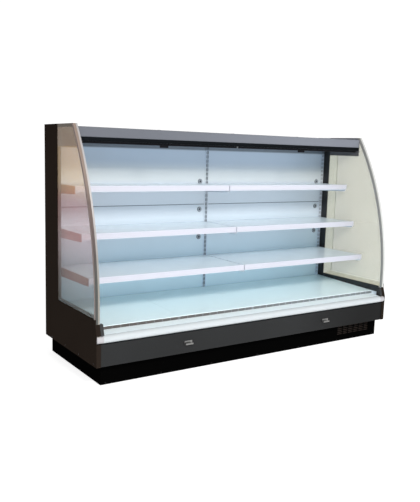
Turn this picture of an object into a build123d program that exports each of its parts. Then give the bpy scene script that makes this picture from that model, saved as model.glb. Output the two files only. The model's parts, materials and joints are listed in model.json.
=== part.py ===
from build123d import *
from math import sqrt
import os

# An open multideck display fridge: an insulated tub and back wall under a
# canopy, glazed ends with a curved front edge, two columns of three shelves,
# a deck over the evaporator and two night blinds. Lengths are millimetres.
# x runs along the width. Depths are measured backwards from the front of the
# bumper nose and heights upwards from the floor.

# Whole cabinet
width = 2560
depth = 860
end_height = 1605
roof_step = 17
end_thickness = 30
inner_half = width / 2 - end_thickness

# Sheets and clearances
skin = 1.5
liner_sheet = 1.0
shelf_sheet = 1.0
duct_sheet = 1.2
running_gap = 0.3
shaft_clearance = 0.05

# Plinth and feet
plinth_height = 133
plinth_side_inset = 47
plinth_front_inset = 47
plinth_steel = 3
floor_gap = 4
flange_width = 40
foot_plate_height = 40
foot_plate_size = 90
foot_inset = 60
foot_radius = 24
foot_pad_height = 8
foot_pad_edge = 5
foot_neck_radius = 8
stem_radius = 6
stem_length = 62
nut_height = 10
nut_radius = 10.2
vent_slot_length = 52
vent_slot_height = 7
vent_slot_rows = 5
vent_slot_columns = 6
vent_right_margin = 80

# Insulated tub, back wall and roof
tub_front = 30
tub_wall = 32.5
tub_floor_foam = 38.5
rear_foam = 57.5
roof_foam = 39.5
roof_foam_front = 430

# Front panel, bumper nose, ledge and deck
panel_setback = 6
panel_height = 141
panel_bend = 3
nose_gap = 3
nose_height = 52.5
nose_wall = 2
nose_cap_length = 50
nose_cap_round = 9
ledge_depth = 92
ledge_sheet = 1.2
ledge_count = 4
segment_gap = 1
riser_height = 25
riser_flange = 22
riser_slot_pitch = 61
riser_slot_width = 57
riser_slot_margin = 3
deck_rise = 23
deck_sheet = 1.2
deck_lip = 14
deck_back_gap = 7
deck_count = 4

# End walls and their glass
end_front = 2
corner_slope = 20
corner_gap = 2.3
end_low_height = 430
post_depth = 233
glass_front = 26
glass_straight = 40
glass_top_lean = 345
pane_thickness = 4
trim_leg = 1.5
trim_face = 4
trim_leg_length = 13
glass_drop = 30
glass_post_overlap = 78
spacer_width = 12
frame_thickness = 4
frame_height = 43
frame_lip = 8
block_width = 22

# Canopy and discharge air
canopy_front = 359
fascia_height = 64
fascia_return = 15
fascia_top_return = 31
fascia_bend = 5
end_plate_thickness = 3
end_plate_drop = 43
end_plate_setback = 165
ceiling_plenum = 49
ceiling_front = 505
ceiling_flange = 22
honeycomb_height = 24
honeycomb_seat = 4
honeycomb_wall = 1.5
honeycomb_rows = 5
honeycomb_cell = 100
light_length = 1200
light_width = 26
light_drop = 12
light_taper = 4

# Night blinds
cassette_wall = 2.5
cassette_drop = 25
slot_near = 371
slot_far = 381
cassette_rear = 429
web_thickness = 4
roller_depth = 392
roller_rise = 57
roller_radius = 12
roller_pin_radius = 4
pin_reach = 3.6
cloth_layer = 4
cloth_margin = 14
bar_width_gap = 28
bar_depth = 12
bar_height = 14
grip_width = 64
grip_drop = 14
grip_thickness = 7
grip_taper = 3
grip_wall = 1.5
bar_end_gap = 2
catch_shift = 5
catch_width = 58
catch_height = 24
catch_reach = 18
catch_lip = 10
catch_bottom = 192

# Back wall
duct_space = 34
upright_stand = 3
upright_width = 38
upright_steel = 2
slot_pitch = 33.4
slot_width = 5.5
slot_height = 21
slot_side = 6.5
slot_first = 401
duct_slot_length = 40
duct_slot_height = 5
duct_slot_pitch = 100
duct_rows = 3
duct_row_height = 579
duct_row_rise = 290
duct_joint_height = 1042
duct_joint_gap = 6
duct_joint_strip = 30
duct_side_return = 15
socket_radius = 20
socket_depth = 5
socket_inset = 62
socket_lowest = 788
socket_rise = 217.5
socket_rows = 3

# Shelves: the slot that carries each one, and how far its rail reaches forwards
shelf_slots = (23, 14, 6)
shelf_reaches = (310, 415, 528)
shelf_above_slot = 18
rail_height = 40
rail_depth = 7
rail_wall = 1.5
rail_lip = 6
shelf_height = 28
shelf_back_gap = 10
shelf_rib = 8
bracket_thickness = 2.5
bracket_rear_height = 66
bracket_front_height = 52
bracket_flange = 18
bracket_front_gap = 2.5
bracket_top_gap = 0.5
bracket_side_gap = 0.4
hook_length = 8
hook_tooth = 7
hook_height = 17

# Evaporator, fans and drain
fan_count = 3
fan_plate_depth = 250
fan_plate_sheet = 1.5
fan_mouth_radius = 72
fan_tip_radius = 68
fan_hub_radius = 21
fan_hub_cap = 3
fan_blades = 5
fan_blade_sweep = 20
fan_blade_root = 2
fan_blade_tip = 1.4
fan_blade_sink = 4
fan_rotor_length = 22
fan_side_inset = 470
motor_radius = 24
motor_length = 46
motor_shaft_radius = 4
motor_shaft_length = 17
motor_arm_width = 10
motor_arm_sheet = 4
motor_arm_setback = 8
coil_front = 360
coil_depth = 270
coil_side_gap = 120
coil_height = 118
coil_lift = 22
coil_fin_pitch = 38
coil_fin = 2
coil_spine = 10
coil_tube_radius = 6
drain_radius = 16
drain_wall = 2
drain_bend = 30
drain_depth = 420
drain_inset = 350
drain_end_gap = 110

# Worked out from the sizes above
catch_front = panel_setback - catch_reach
origin_depth = (depth + catch_front) / 2
panel_top = plinth_height + panel_height
nose_bottom = panel_top + nose_gap
nose_top = nose_bottom + nose_height
nose_radius = nose_height / 2
rim_height = nose_top
ledge_top = rim_height + liner_sheet + ledge_sheet
ledge_back = nose_radius + ledge_depth
riser_top = ledge_top + riser_height
deck_front_top = riser_top + deck_sheet
deck_back_top = deck_front_top + deck_rise
foam_front = tub_front + skin
foam_back = depth - skin
foam_bottom = plinth_height + skin
roof_height = end_height - roof_step
foam_top = roof_height - skin
tub_inside = foam_front + tub_wall
tub_floor = foam_bottom + tub_floor_foam
back_inside = foam_back - rear_foam
roof_inside = foam_top - roof_foam
duct_front = back_inside - duct_space
upright_front = duct_front - upright_stand
deck_back = duct_front - deck_back_gap
post_front = depth - post_depth
end_plate_rear = depth - end_plate_setback
fascia_bottom = roof_height - fascia_height
cassette_bottom = fascia_bottom - cassette_drop
roller_height = cassette_bottom + roller_rise
ceiling_height = roof_inside - ceiling_plenum
end_plate_bottom = ceiling_height - end_plate_drop
catch_offset = inner_half / 2 - catch_shift
fan_pitch = 2 * (inner_half - fan_side_inset) / (fan_count - 1)
coil_length = 2 * (inner_half - coil_side_gap)
drain_side = inner_half - drain_inset
bar_middle = roller_depth - roller_radius - cloth_layer
upright_center = inner_half - upright_width / 2
bracket_side = upright_center - slot_side
glass_bottom = end_low_height - glass_drop
glass_arc_start = end_low_height + glass_straight
corner_height = glass_bottom - corner_gap - ledge_top
pocket_back = post_front + glass_post_overlap
fan_height = tub_floor + liner_sheet + (rim_height - tub_floor) / 2


def save(name, *solids):
    """Write one node, with the part's origin at the middle of its base."""
    loose = [solid for shape in solids for solid in shape.solids()]
    whole = loose[0] if len(loose) == 1 else Compound(loose)
    export_step(Pos(0, -origin_depth, 0) * whole, f"parts/{name}.step")


def block(left, right, near, far, low, high):
    """A plain block between two widths, two depths and two heights."""
    center = Pos((left + right) / 2, (near + far) / 2, (low + high) / 2)
    return center * Box(right - left, far - near, high - low)


def along(face, left, right):
    """A (depth, height) face carried along the width."""
    return extrude(Plane.YZ.offset(left) * face, amount=right - left, dir=(1, 0, 0))


def outline(*points):
    """A closed face through (depth, height) points."""
    return make_face(Polyline(*points, close=True))


def bent(path, thickness, left, right, side=Side.LEFT, bend=0):
    """A folded sheet: a (depth, height) path thickened to one side."""
    line = FilletPolyline(*path, radius=bend) if bend else Polyline(*path)
    band = offset(line, amount=thickness, side=side, kind=Kind.INTERSECTION)
    return along(make_face(band), left, right)


def both_sides(shape):
    """A piece at the left end and its mirror image at the right end."""
    return shape, mirror(shape, about=Plane.YZ)


def rod(radius, left, right, at_depth, at_height):
    """A round bar that lies along the width."""
    return along(Pos(at_depth, at_height) * Circle(radius), left, right)


# ---------------------------------------------------------------- plinth

def foot_places():
    """The six feet: two at each end and two in the middle."""
    side = width / 2 - plinth_side_inset - foot_inset
    near = plinth_front_inset + foot_inset
    far = depth - foot_inset
    return [(x, y) for x in (-side, 0, side) for y in (near, far)]


def base_frame():
    half = width / 2 - plinth_side_inset
    near = plinth_front_inset + skin
    body = block(-half, half, near, depth, floor_gap, plinth_height)
    wall = plinth_steel
    inside = block(-half + wall, half - wall, near + wall, depth - wall, 0, plinth_height - wall)
    inner = flange_width
    mouth = block(-half + inner, half - inner, near + inner, depth - inner, 0, plinth_height + 1)
    frame = body - inside - mouth
    for x in (-half / 3, half / 3):
        low = plinth_height - flange_width
        frame += block(x - wall, x + wall, near + wall, depth - wall, low, plinth_height)
    for x, y in foot_places():
        reach = foot_plate_size / 2
        near_side = near if y < depth / 2 else y - reach
        far_side = y + reach if y < depth / 2 else depth
        low = foot_plate_height - wall
        frame += block(x - reach, x + reach, near_side, far_side, low, foot_plate_height)
        if x:
            outer = x + half * x / abs(x) - x
            edges = sorted((x, outer))
            frame += block(edges[0], edges[1], near_side, far_side, low, foot_plate_height)
        frame -= Pos(x, y, low) * Cylinder(stem_radius + running_gap, 4 * wall)
    vents = block(half - vent_right_margin - vent_span(), half - vent_right_margin,
                  near - 1, near + wall + 1, floor_gap + wall + foot_plate_height,
                  plinth_height - 2 * wall)
    return frame - vents


def vent_span():
    return vent_slot_columns * (vent_slot_length + vent_slot_height)


def kick_plate():
    half = width / 2 - plinth_side_inset
    near = plinth_front_inset
    plate = block(-half, half, near, near + skin, floor_gap, plinth_height - skin)
    low = floor_gap + plinth_steel + foot_plate_height + vent_slot_height
    for row in range(vent_slot_rows):
        for column in range(vent_slot_columns):
            right = half - vent_right_margin - column * (vent_slot_length + vent_slot_height)
            z = low + row * 2 * vent_slot_height
            plate -= block(right - vent_slot_length, right, near - 1, near + skin + 1,
                           z, z + vent_slot_height)
    return plate


def levelling_feet():
    top = foot_pad_height + stem_length
    half_section = outline((0, 0), (foot_radius, 0), (foot_radius, foot_pad_edge),
                           (foot_neck_radius, foot_pad_height), (stem_radius, foot_pad_height),
                           (stem_radius, top), (0, top))
    foot = revolve(Plane.XZ * half_section, axis=Axis.Z)
    hexagon = RegularPolygon(radius=nut_radius, side_count=6)
    low = foot_plate_height - plinth_steel
    foot += Pos(0, 0, foot_plate_height) * extrude(hexagon, amount=nut_height)
    foot += Pos(0, 0, low - nut_height) * extrude(hexagon, amount=nut_height)
    return [Pos(x, y, 0) * foot for x, y in foot_places()]


# ---------------------------------------------------------------- insulated body

def drain_hole(radius):
    reach = tub_floor + 2 * drain_wall
    return Pos(drain_side, drain_depth, reach / 2) * Cylinder(radius, reach + 2)


def tub_outer_pan():
    path = [(foam_front, rim_height), (foam_front, foam_bottom), (foam_back, foam_bottom)]
    pan = bent(path, skin, -inner_half, inner_half, Side.RIGHT)
    return pan - drain_hole(drain_radius + running_gap)


def foam_cores():
    body = outline((foam_front, foam_bottom), (foam_back, foam_bottom), (foam_back, foam_top),
                   (roof_foam_front, foam_top), (roof_foam_front, roof_inside),
                   (back_inside, roof_inside), (back_inside, tub_floor),
                   (tub_inside, tub_floor), (tub_inside, rim_height), (foam_front, rim_height))
    core = along(body, -inner_half, inner_half) - drain_hole(drain_radius + running_gap)
    inner = width / 2 - end_thickness + liner_sheet
    end = along(offset(end_outline(), -skin), inner, width / 2 - skin)
    end -= end_pockets(nose_bottom - skin)
    return [core, *both_sides(end)]


def inner_liners():
    path = [(foam_front, rim_height), (tub_inside, rim_height), (tub_inside, tub_floor),
            (back_inside, tub_floor), (back_inside, roof_inside), (roof_foam_front, roof_inside)]
    body = bent(path, liner_sheet, -inner_half, inner_half)
    body = body - drain_hole(drain_radius + running_gap)
    end = along(offset(end_outline(), -skin), inner_half, inner_half + liner_sheet)
    end -= end_pockets(nose_bottom - skin)
    end -= block(inner_half - 1, inner_half + 1 + liner_sheet, -1, tub_front, 0, nose_bottom)
    return [body, *both_sides(end)]


# ---------------------------------------------------------------- end walls

def end_outline():
    """The black end panel: a low front part, and a post at the rear."""
    low_top = ledge_top
    return outline((end_front, plinth_height), (end_front, low_top),
                   (end_front + corner_slope, low_top + corner_height),
                   (end_front + corner_slope, end_low_height),
                   (post_front, end_low_height), (post_front, end_height),
                   (depth, end_height), (depth, plinth_height))


def end_pockets(seat_low):
    """What is left open inside an end wall: the glass pocket and the nose cap's seat."""
    inner = inner_half - 1
    outer = width / 2 - trim_leg - pane_thickness
    glass_base = glass_bottom
    low = block(inner, outer, end_front - 1, pocket_back, glass_base, end_low_height + 1)
    rear = block(inner, outer, post_front - 1, pocket_back, glass_base, end_height + 1)
    seat = block(inner, width / 2 - skin, -1, tub_front, seat_low, ledge_top)
    return low + rear + seat


def end_panel():
    """The black tray, with a return flange beside the front panel and a lid under the cap."""
    tray = along(end_outline(), inner_half, width / 2)
    tray -= along(offset(end_outline(), -skin), inner_half - 1, width / 2 - skin)
    tray -= end_pockets(nose_bottom)
    lid = nose_bottom - skin
    tray += block(inner_half, width / 2 - skin, end_front, tub_front, lid, nose_bottom)
    tray += block(inner_half, inner_half + liner_sheet, end_front, tub_front, plinth_height, lid)
    return tray


def glass_curve_radius():
    rise = end_height - glass_arc_start
    return (rise ** 2 + glass_top_lean ** 2) / (2 * glass_top_lean)


def glass_face(grow=0, low=0, back=0):
    """A pane's outline: upright at the bottom of its front edge, then leaning back on an arc."""
    radius = glass_curve_radius() + grow
    front = glass_front - grow
    rise = end_height - glass_arc_start
    middle = rise / 2
    center = front + radius
    bend = (center - sqrt(radius ** 2 - middle ** 2), glass_arc_start + middle)
    top = (center - sqrt(radius ** 2 - rise ** 2), end_height)
    edge = Line((front, low), (front, glass_arc_start))
    arc = ThreePointArc((front, glass_arc_start), bend, top)
    rest = Polyline(top, (back, end_height), (back, low), (front, low))
    return make_face([edge, arc, rest])


def side_glass():
    outer = width / 2 - trim_leg
    outside = along(glass_face(0, end_low_height, post_front), outer - pane_thickness, outer)
    inner = inner_half + trim_leg
    inside = along(glass_face(0, glass_bottom, pocket_back), inner, inner + pane_thickness)
    return [outside, inside]


def glass_spacer():
    left = inner_half + trim_leg + pane_thickness
    right = width / 2 - trim_leg - pane_thickness
    whole = along(glass_face(0, glass_bottom, pocket_back), left, right)
    low = end_low_height + spacer_width
    opening = along(glass_face(-spacer_width, low, post_front), left - 1, right + 1)
    ceiling = block(left - 2, right + 2, 0, depth, end_height - spacer_width, end_height + 1)
    return whole - (opening - ceiling)


def glass_trim():
    """The metal channel on the glass's curved front edge, down to the glass pocket's floor."""
    outer = along(glass_face(trim_face, end_low_height, post_front), inner_half, width / 2)
    pocket_side = width / 2 - trim_leg - pane_thickness
    outer += along(glass_face(trim_face, glass_bottom, post_front), inner_half, pocket_side)
    inner = along(glass_face(-trim_leg_length, 0, post_front), inner_half - 1, width / 2 + 1)
    groove = along(glass_face(0, 0, depth), inner_half + trim_leg, width / 2 - trim_leg)
    return outer - inner - groove


def glass_frame():
    """The black frame inside, along the glass's rear and bottom edges."""
    inner = inner_half - frame_thickness
    rear_near = pocket_back - frame_lip
    low = glass_bottom - frame_height
    rear = block(inner, inner_half, rear_near, upright_front, low, ceiling_height)
    rear += block(inner_half, inner_half + trim_leg, rear_near, pocket_back, glass_bottom,
                  ceiling_height)
    near = end_front + corner_slope + nose_radius
    lip_top = glass_bottom + frame_lip
    bottom = block(inner, inner_half, ledge_back + riser_flange, rear_near, low, lip_top)
    bottom += block(inner, inner_half, near, ledge_back + riser_flange, riser_top + 1, lip_top)
    bottom += block(inner_half, inner_half + trim_leg, near, rear_near, glass_bottom, lip_top)
    return rear + bottom


def corner_block():
    """The moulded block under the front corner of the glass."""
    low = ledge_top
    top = low + corner_height
    back = end_front + corner_slope + nose_radius
    shape = outline((end_front + skin, low), (end_front + corner_slope, top), (back, top),
                    (back, low))
    solid = along(shape, inner_half - block_width, inner_half)
    return fillet(solid.edges().filter_by(Axis.X).group_by(Axis.Z)[-1], radius=3)


# ---------------------------------------------------------------- front

def front_panel():
    path = [(tub_front, plinth_height), (panel_setback, plinth_height),
            (panel_setback, panel_top), (tub_front, panel_top)]
    return bent(path, skin, -inner_half, inner_half, Side.RIGHT, panel_bend)


def nose_section(shrink=0):
    """A half round in front of a short flat back."""
    middle = nose_bottom + nose_radius
    half = nose_radius - shrink
    back = tub_front - shrink
    high = middle + half
    low = middle - half
    front = ThreePointArc((nose_radius, high), (shrink, middle), (nose_radius, low))
    rest = Polyline((nose_radius, low), (back, low), (back, high), (nose_radius, high))
    return make_face([front, rest])


def nose_profile():
    half = width / 2 - nose_cap_length
    return along(nose_section() - nose_section(nose_wall), -half, half)


def nose_end_cap():
    left = width / 2 - nose_cap_length
    cap = along(nose_section(), left, width / 2 - skin - running_gap)
    rim = cap.edges().group_by(Axis.X)[-1].sort_by(Axis.Y)[0]
    return fillet(rim, radius=nose_cap_round)


def front_ledges():
    """Four folded lengths: the ledge, the slotted riser for return air and its top flange."""
    step = 2 * inner_half / ledge_count
    path = [(nose_radius, ledge_top), (ledge_back, ledge_top), (ledge_back, riser_top),
            (ledge_back + riser_flange, riser_top)]
    pieces = []
    for index in range(ledge_count):
        left = -inner_half + index * step + segment_gap / 2
        right = left + step - segment_gap
        ledge = bent(path, ledge_sheet, left, right, Side.RIGHT)
        count = int((right - left) // riser_slot_pitch)
        first = (left + right - (count - 1) * riser_slot_pitch) / 2
        slots = [block(first + i * riser_slot_pitch - riser_slot_width / 2,
                       first + i * riser_slot_pitch + riser_slot_width / 2,
                       ledge_back - 2 * ledge_sheet, ledge_back + 2 * ledge_sheet,
                       ledge_top + riser_slot_margin, riser_top - riser_slot_margin)
                 for i in range(count)]
        pieces.append(ledge - slots)
    return pieces


def blind_catch():
    top = catch_bottom + catch_height
    path = [(panel_setback, top), (panel_setback, catch_bottom),
            (catch_front, catch_bottom), (catch_front, catch_bottom + catch_lip)]
    left = catch_offset - catch_width / 2
    return bent(path, skin, left, left + catch_width, Side.RIGHT)


# ---------------------------------------------------------------- canopy

def canopy_fascia():
    path = [(canopy_front + fascia_return, fascia_bottom), (canopy_front, fascia_bottom),
            (canopy_front, roof_height), (canopy_front + fascia_top_return, roof_height)]
    half = inner_half - end_plate_thickness
    return bent(path, duct_sheet, -half, half, Side.RIGHT, fascia_bend)


def canopy_end_plate():
    near = canopy_front
    step = roof_foam_front - running_gap
    high = foam_top - running_gap
    low_roof = roof_inside - liner_sheet
    shape = outline((near, end_plate_bottom), (near, high), (step, high), (step, low_roof),
                    (end_plate_rear, low_roof), (end_plate_rear, end_plate_bottom))
    bore = Pos(roller_depth, roller_height) * Circle(roller_pin_radius + shaft_clearance)
    return along(shape - bore, inner_half - end_plate_thickness, inner_half)


def ceiling_duct_panel():
    half = inner_half - end_plate_thickness
    path = [(ceiling_front, ceiling_height + ceiling_flange), (ceiling_front, ceiling_height),
            (end_plate_rear, ceiling_height)]
    front = bent(path, duct_sheet, -half, half)
    inner = inner_half - frame_thickness
    rear = block(-inner, inner, end_plate_rear, duct_front + duct_sheet,
                 ceiling_height, ceiling_height + duct_sheet)
    return front + rear


def discharge_honeycomb():
    half = inner_half - end_plate_thickness
    low = ceiling_height - honeycomb_seat
    high = low + honeycomb_height
    wall = honeycomb_wall
    frame = block(-half, half, cassette_rear, ceiling_front, low, high)
    columns = int(2 * half // honeycomb_cell)
    across = (2 * half - wall) / columns
    deep = (ceiling_front - cassette_rear - wall) / honeycomb_rows
    cell = Box(across - wall, deep - wall, 2 * honeycomb_height)
    cells = [Pos(-half + wall / 2 + (i + 0.5) * across,
                 cassette_rear + wall / 2 + (j + 0.5) * deep, (low + high) / 2) * cell
             for i in range(columns) for j in range(honeycomb_rows)]
    return frame - cells


def canopy_lights():
    near = (slot_far + cassette_rear - light_width) / 2
    low = cassette_bottom - light_drop
    far = near + light_width
    shape = outline((near, cassette_bottom), (far, cassette_bottom),
                    (far - light_taper, low), (near + light_taper, low))
    gap = (inner_half - light_length) / 2
    return both_sides(along(shape, gap, gap + light_length))


# ---------------------------------------------------------------- night blinds

def blind_cassette():
    half = inner_half - end_plate_thickness
    front_face = canopy_front + skin
    lip = [(front_face, fascia_bottom - running_gap), (front_face, cassette_bottom),
           (slot_near, cassette_bottom)]
    tray = [(slot_far, cassette_bottom), (cassette_rear, cassette_bottom),
            (cassette_rear, roller_height)]
    body = bent(lip, cassette_wall, -half, half) + bent(tray, cassette_wall, -half, half)
    low = cassette_bottom
    high = fascia_bottom - 2 * running_gap
    end = outline((front_face, low), (front_face, high), (cassette_rear, high), (cassette_rear, low))
    crown = roller_height + 2 * roller_radius
    clear_of_return = canopy_front + fascia_return + running_gap
    web = outline((front_face, low), (front_face, high), (clear_of_return, high),
                  (clear_of_return, crown), (roller_depth + 1.5 * roller_radius, crown),
                  (cassette_rear, roller_height), (cassette_rear, low))
    bore = Pos(roller_depth, roller_height) * Circle(roller_pin_radius + shaft_clearance)
    body += along(web - bore, -web_thickness, web_thickness)
    body += along(end, half - web_thickness, half)
    body += along(end, -half, -half + web_thickness)
    return body


def blind_roller():
    left = 2 * web_thickness
    right = inner_half - end_plate_thickness - web_thickness
    tube = rod(roller_radius - running_gap, left, right, roller_depth, roller_height)
    pin_left = web_thickness - pin_reach
    pin_right = inner_half - running_gap
    return tube + rod(roller_pin_radius, pin_left, pin_right, roller_depth, roller_height)


def blind_cloth():
    left = 2 * web_thickness + cloth_margin
    right = inner_half - end_plate_thickness - web_thickness - cloth_margin
    outer = rod(roller_radius + cloth_layer, left, right, roller_depth, roller_height)
    return outer - rod(roller_radius, left - 1, right + 1, roller_depth, roller_height)


def blind_bar():
    """The pull bar that closes the cassette's slot, with its grip below."""
    left = 2 * web_thickness + bar_end_gap
    right = inner_half - bar_width_gap
    near = bar_middle - bar_depth / 2
    far = bar_middle + bar_depth / 2
    top = cassette_bottom - running_gap
    low = top - bar_height
    bar = along(outline((near, low), (near, top), (far, top), (far, low)), left, right)
    bar = fillet(bar.edges().filter_by(Axis.X).group_by(Axis.Z)[0], radius=bar_depth / 3)
    return bar + grip(low)


def grip(bar_low):
    """A finger grip, hollowed out from behind between its two cheeks."""
    near = bar_middle - grip_thickness / 2 - grip_wall
    far = near + grip_thickness
    high = bar_low + bar_height / 2
    low = bar_low - grip_drop
    left = catch_offset - grip_width / 2
    shape = outline((near, high), (near, low + grip_taper), (near + grip_taper, low), (far, low),
                    (far, high))
    hollow = block(left + 3 * grip_wall, left + grip_width - 3 * grip_wall,
                   near + grip_taper + grip_wall, far + 1, low - 1, bar_low)
    return along(shape, left, left + grip_width) - hollow


# ---------------------------------------------------------------- back wall

def slot_heights():
    count = int((ceiling_height - slot_height - slot_first) // slot_pitch)
    return [slot_first + index * slot_pitch for index in range(count + 1)]


def upright():
    """One slotted channel, standing on the liner's floor and screwed to its back."""
    half = upright_width / 2
    back = back_inside - liner_sheet
    path = Polyline((-half, back), (-half, upright_front), (half, upright_front), (half, back))
    band = make_face(offset(path, amount=upright_steel, side=Side.LEFT, kind=Kind.INTERSECTION))
    low = tub_floor + liner_sheet
    channel = Pos(0, 0, low) * extrude(band, amount=ceiling_height - low)
    slots = [block(x - slot_width / 2, x + slot_width / 2, upright_front - 1,
                   upright_front + 2 * upright_steel, z, z + slot_height)
             for x in (-slot_side, slot_side) for z in slot_heights()]
    return channel - slots


def uprights():
    channel = upright()
    return [Pos(x, 0, 0) * channel for x in (-upright_center, 0, upright_center)]


def duct_panel():
    """A back panel in two heights: a joint strip behind, rows of air slots, side returns."""
    left = upright_width / 2
    right = upright_center - upright_width / 2
    low = deck_back_top - deck_lip - duct_sheet
    back = duct_front + duct_sheet
    path = [(deck_back - 1.5 * deck_lip, low), (back, low), (back, ceiling_height)]
    panel = bent(path, duct_sheet, left, right)
    panel -= block(left - 1, right + 1, duct_front - 1, back + 1, duct_joint_height,
                   duct_joint_height + duct_joint_gap)
    middle = duct_joint_height + duct_joint_gap / 2
    panel += block(left, right, back, back + duct_sheet, middle - duct_joint_strip / 2,
                   middle + duct_joint_strip / 2)
    for x in (left, right - duct_sheet):
        panel += block(x, x + duct_sheet, back, back + duct_side_return, low, ceiling_height)
    return panel - duct_slots(left, right)


def duct_slots(left, right):
    count = int((right - left - duct_slot_pitch) // duct_slot_pitch)
    first = (left + right - (count - 1) * duct_slot_pitch) / 2
    half = duct_slot_length / 2
    slots = []
    for row in range(duct_rows):
        z = duct_row_height + row * duct_row_rise
        for index in range(count):
            x = first + index * duct_slot_pitch
            slots.append(block(x - half, x + half, duct_front - 1, duct_front + 2 * duct_sheet,
                               z, z + duct_slot_height))
    return slots


def lamp_sockets():
    """Round sockets for lamp leads, one above the other to the left of two uprights."""
    outer = socket_radius
    rim = 0.8 * outer
    bore = 0.4 * outer
    half_section = outline((0, 0), (outer, 0), (outer, socket_depth / 3), (rim, socket_depth),
                           (bore, socket_depth), (bore, socket_depth / 2), (0, socket_depth / 2))
    lying = Rot(90, 0, 0) * revolve(Plane.XZ * half_section, axis=Axis.Z)
    return [Pos(x - socket_inset, duct_front, socket_lowest + row * socket_rise) * lying
            for x in (0, upright_center) for row in range(socket_rows)]


# ---------------------------------------------------------------- shelves

def shelf_top(slot):
    return slot_first + slot * slot_pitch + shelf_above_slot + slot_height


def shelf_bracket(slot, front):
    """A side plate that hooks into two upright slots, with the flange the pan rests on."""
    top = shelf_top(slot) - bracket_top_gap
    seat = shelf_top(slot) - shelf_height
    near = front + rail_depth + bracket_front_gap
    low_front = top - bracket_front_height
    shape = outline((upright_front, top), (upright_front, top - bracket_rear_height),
                    (near + bracket_front_height / 3, low_front), (near, low_front + bracket_front_gap),
                    (near, top))
    half = bracket_thickness / 2
    plate = along(shape, bracket_side - half, bracket_side + half)
    plate += block(bracket_side - half - bracket_flange, bracket_side - half, near + rail_depth,
                   upright_front, seat - bracket_thickness, seat)
    tooth = upright_front + upright_steel + running_gap
    for z in (slot_first + slot * slot_pitch, slot_first + (slot - 1) * slot_pitch):
        base = z + (slot_height - hook_height) / 2
        hook = outline((upright_front - 1, base), (upright_front - 1, base + hook_height),
                       (tooth + hook_length, base + hook_height),
                       (tooth + hook_length, base - hook_tooth), (tooth, base - hook_tooth),
                       (tooth, base))
        plate += along(hook, bracket_side - half, bracket_side + half)
    return plate


def shelf_brackets():
    """Four for each row: a mirrored pair for the shelf of each column."""
    pieces = []
    to_center = Pos(-upright_center, 0, 0)
    for slot, reach in zip(shelf_slots, shelf_reaches):
        outer = shelf_bracket(slot, upright_front - reach)
        inner = to_center * mirror(outer, about=Plane.YZ.offset(upright_center))
        pieces += [*both_sides(outer), *both_sides(inner)]
    return pieces


def shelf_span():
    half = bracket_thickness / 2 + bracket_side_gap
    return slot_side + half, bracket_side - half


def shelf_pan(slot, front):
    """A folded pan, open below, with two stiffening ribs across it."""
    left, right = shelf_span()
    near = front + rail_depth
    far = upright_front - shelf_back_gap
    top = shelf_top(slot)
    low = top - shelf_height + running_gap
    sheet = shelf_sheet
    under = top - sheet
    pan = block(left, right, near, far, low, top)
    pan -= block(left + sheet, right - sheet, near + sheet, far - sheet, low - 1, under)
    for share in (1 / 3, 2 / 3):
        x = left + share * (right - left)
        side = shelf_rib - sheet
        pan += block(x - shelf_rib, x + shelf_rib, near + sheet, far - sheet, top - shelf_rib, under)
        pan -= block(x - side, x + side, near, far, top - shelf_rib - 1, under)
    return pan


def price_rail(slot, front):
    """An extruded channel on the pan's front edge, open in front for the labels."""
    low = shelf_top(slot) - rail_height + bracket_front_gap
    top = low + rail_height
    back = front + rail_depth
    path = [(front, low + rail_lip), (front, low), (back, low), (back, top), (front, top),
            (front, top - rail_lip)]
    left = slot_side - bracket_thickness
    return bent(path, rail_wall, left, bracket_side + bracket_thickness / 2)


# ---------------------------------------------------------------- deck

def deck_pans():
    """Four loose pans that slope gently down to the front over the evaporator."""
    step = 2 * (inner_half - frame_thickness) / deck_count
    t = deck_sheet
    front = ledge_back
    slope = (deck_back_top - deck_front_top) / (deck_back - front)
    lip_near = front + riser_flange + 2
    lip_top = deck_front_top + slope * (lip_near - front) - t
    sheet = outline((front, deck_front_top), (deck_back, deck_back_top),
                    (deck_back, deck_back_top - t), (front, deck_front_top - t))
    side = outline((lip_near, lip_top), (lip_near, lip_top - deck_lip / 2),
                   (deck_back, deck_back_top - deck_lip / 2), (deck_back, deck_back_top - t))
    pieces = []
    for index in range(deck_count):
        left = -inner_half + frame_thickness + index * step + segment_gap / 2
        right = left + step - segment_gap
        pan = along(sheet, left, right) + along(side, left, left + t)
        pan += along(side, right - t, right)
        pan += block(left, right, deck_back - t, deck_back, deck_back_top - deck_lip,
                     deck_back_top - t)
        pieces.append(Pos(0, 0, running_gap) * pan)
    return pieces


# ---------------------------------------------------------------- cold side

def fan_centers():
    return [(index - (fan_count - 1) / 2) * fan_pitch for index in range(fan_count)]


def fan_plate():
    """The plate across the tub that carries the fans, with a turned-out mouth for each."""
    low = tub_floor + liner_sheet
    far = fan_plate_depth + fan_plate_sheet
    plate = block(-inner_half, inner_half, fan_plate_depth, far, low, rim_height)
    plate += block(-inner_half, inner_half, fan_plate_depth, far + motor_radius,
                   rim_height - fan_plate_sheet, rim_height)
    for x in fan_centers():
        mouth = Pos(x, far, fan_height) * Rot(90, 0, 0)
        ring = Cylinder(fan_mouth_radius + fan_plate_sheet, fan_rotor_length,
                        align=(Align.CENTER, Align.CENTER, Align.MIN))
        hole = Cylinder(fan_mouth_radius, 3 * fan_rotor_length)
        plate += mouth * ring
        plate -= mouth * hole
    return plate


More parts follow.
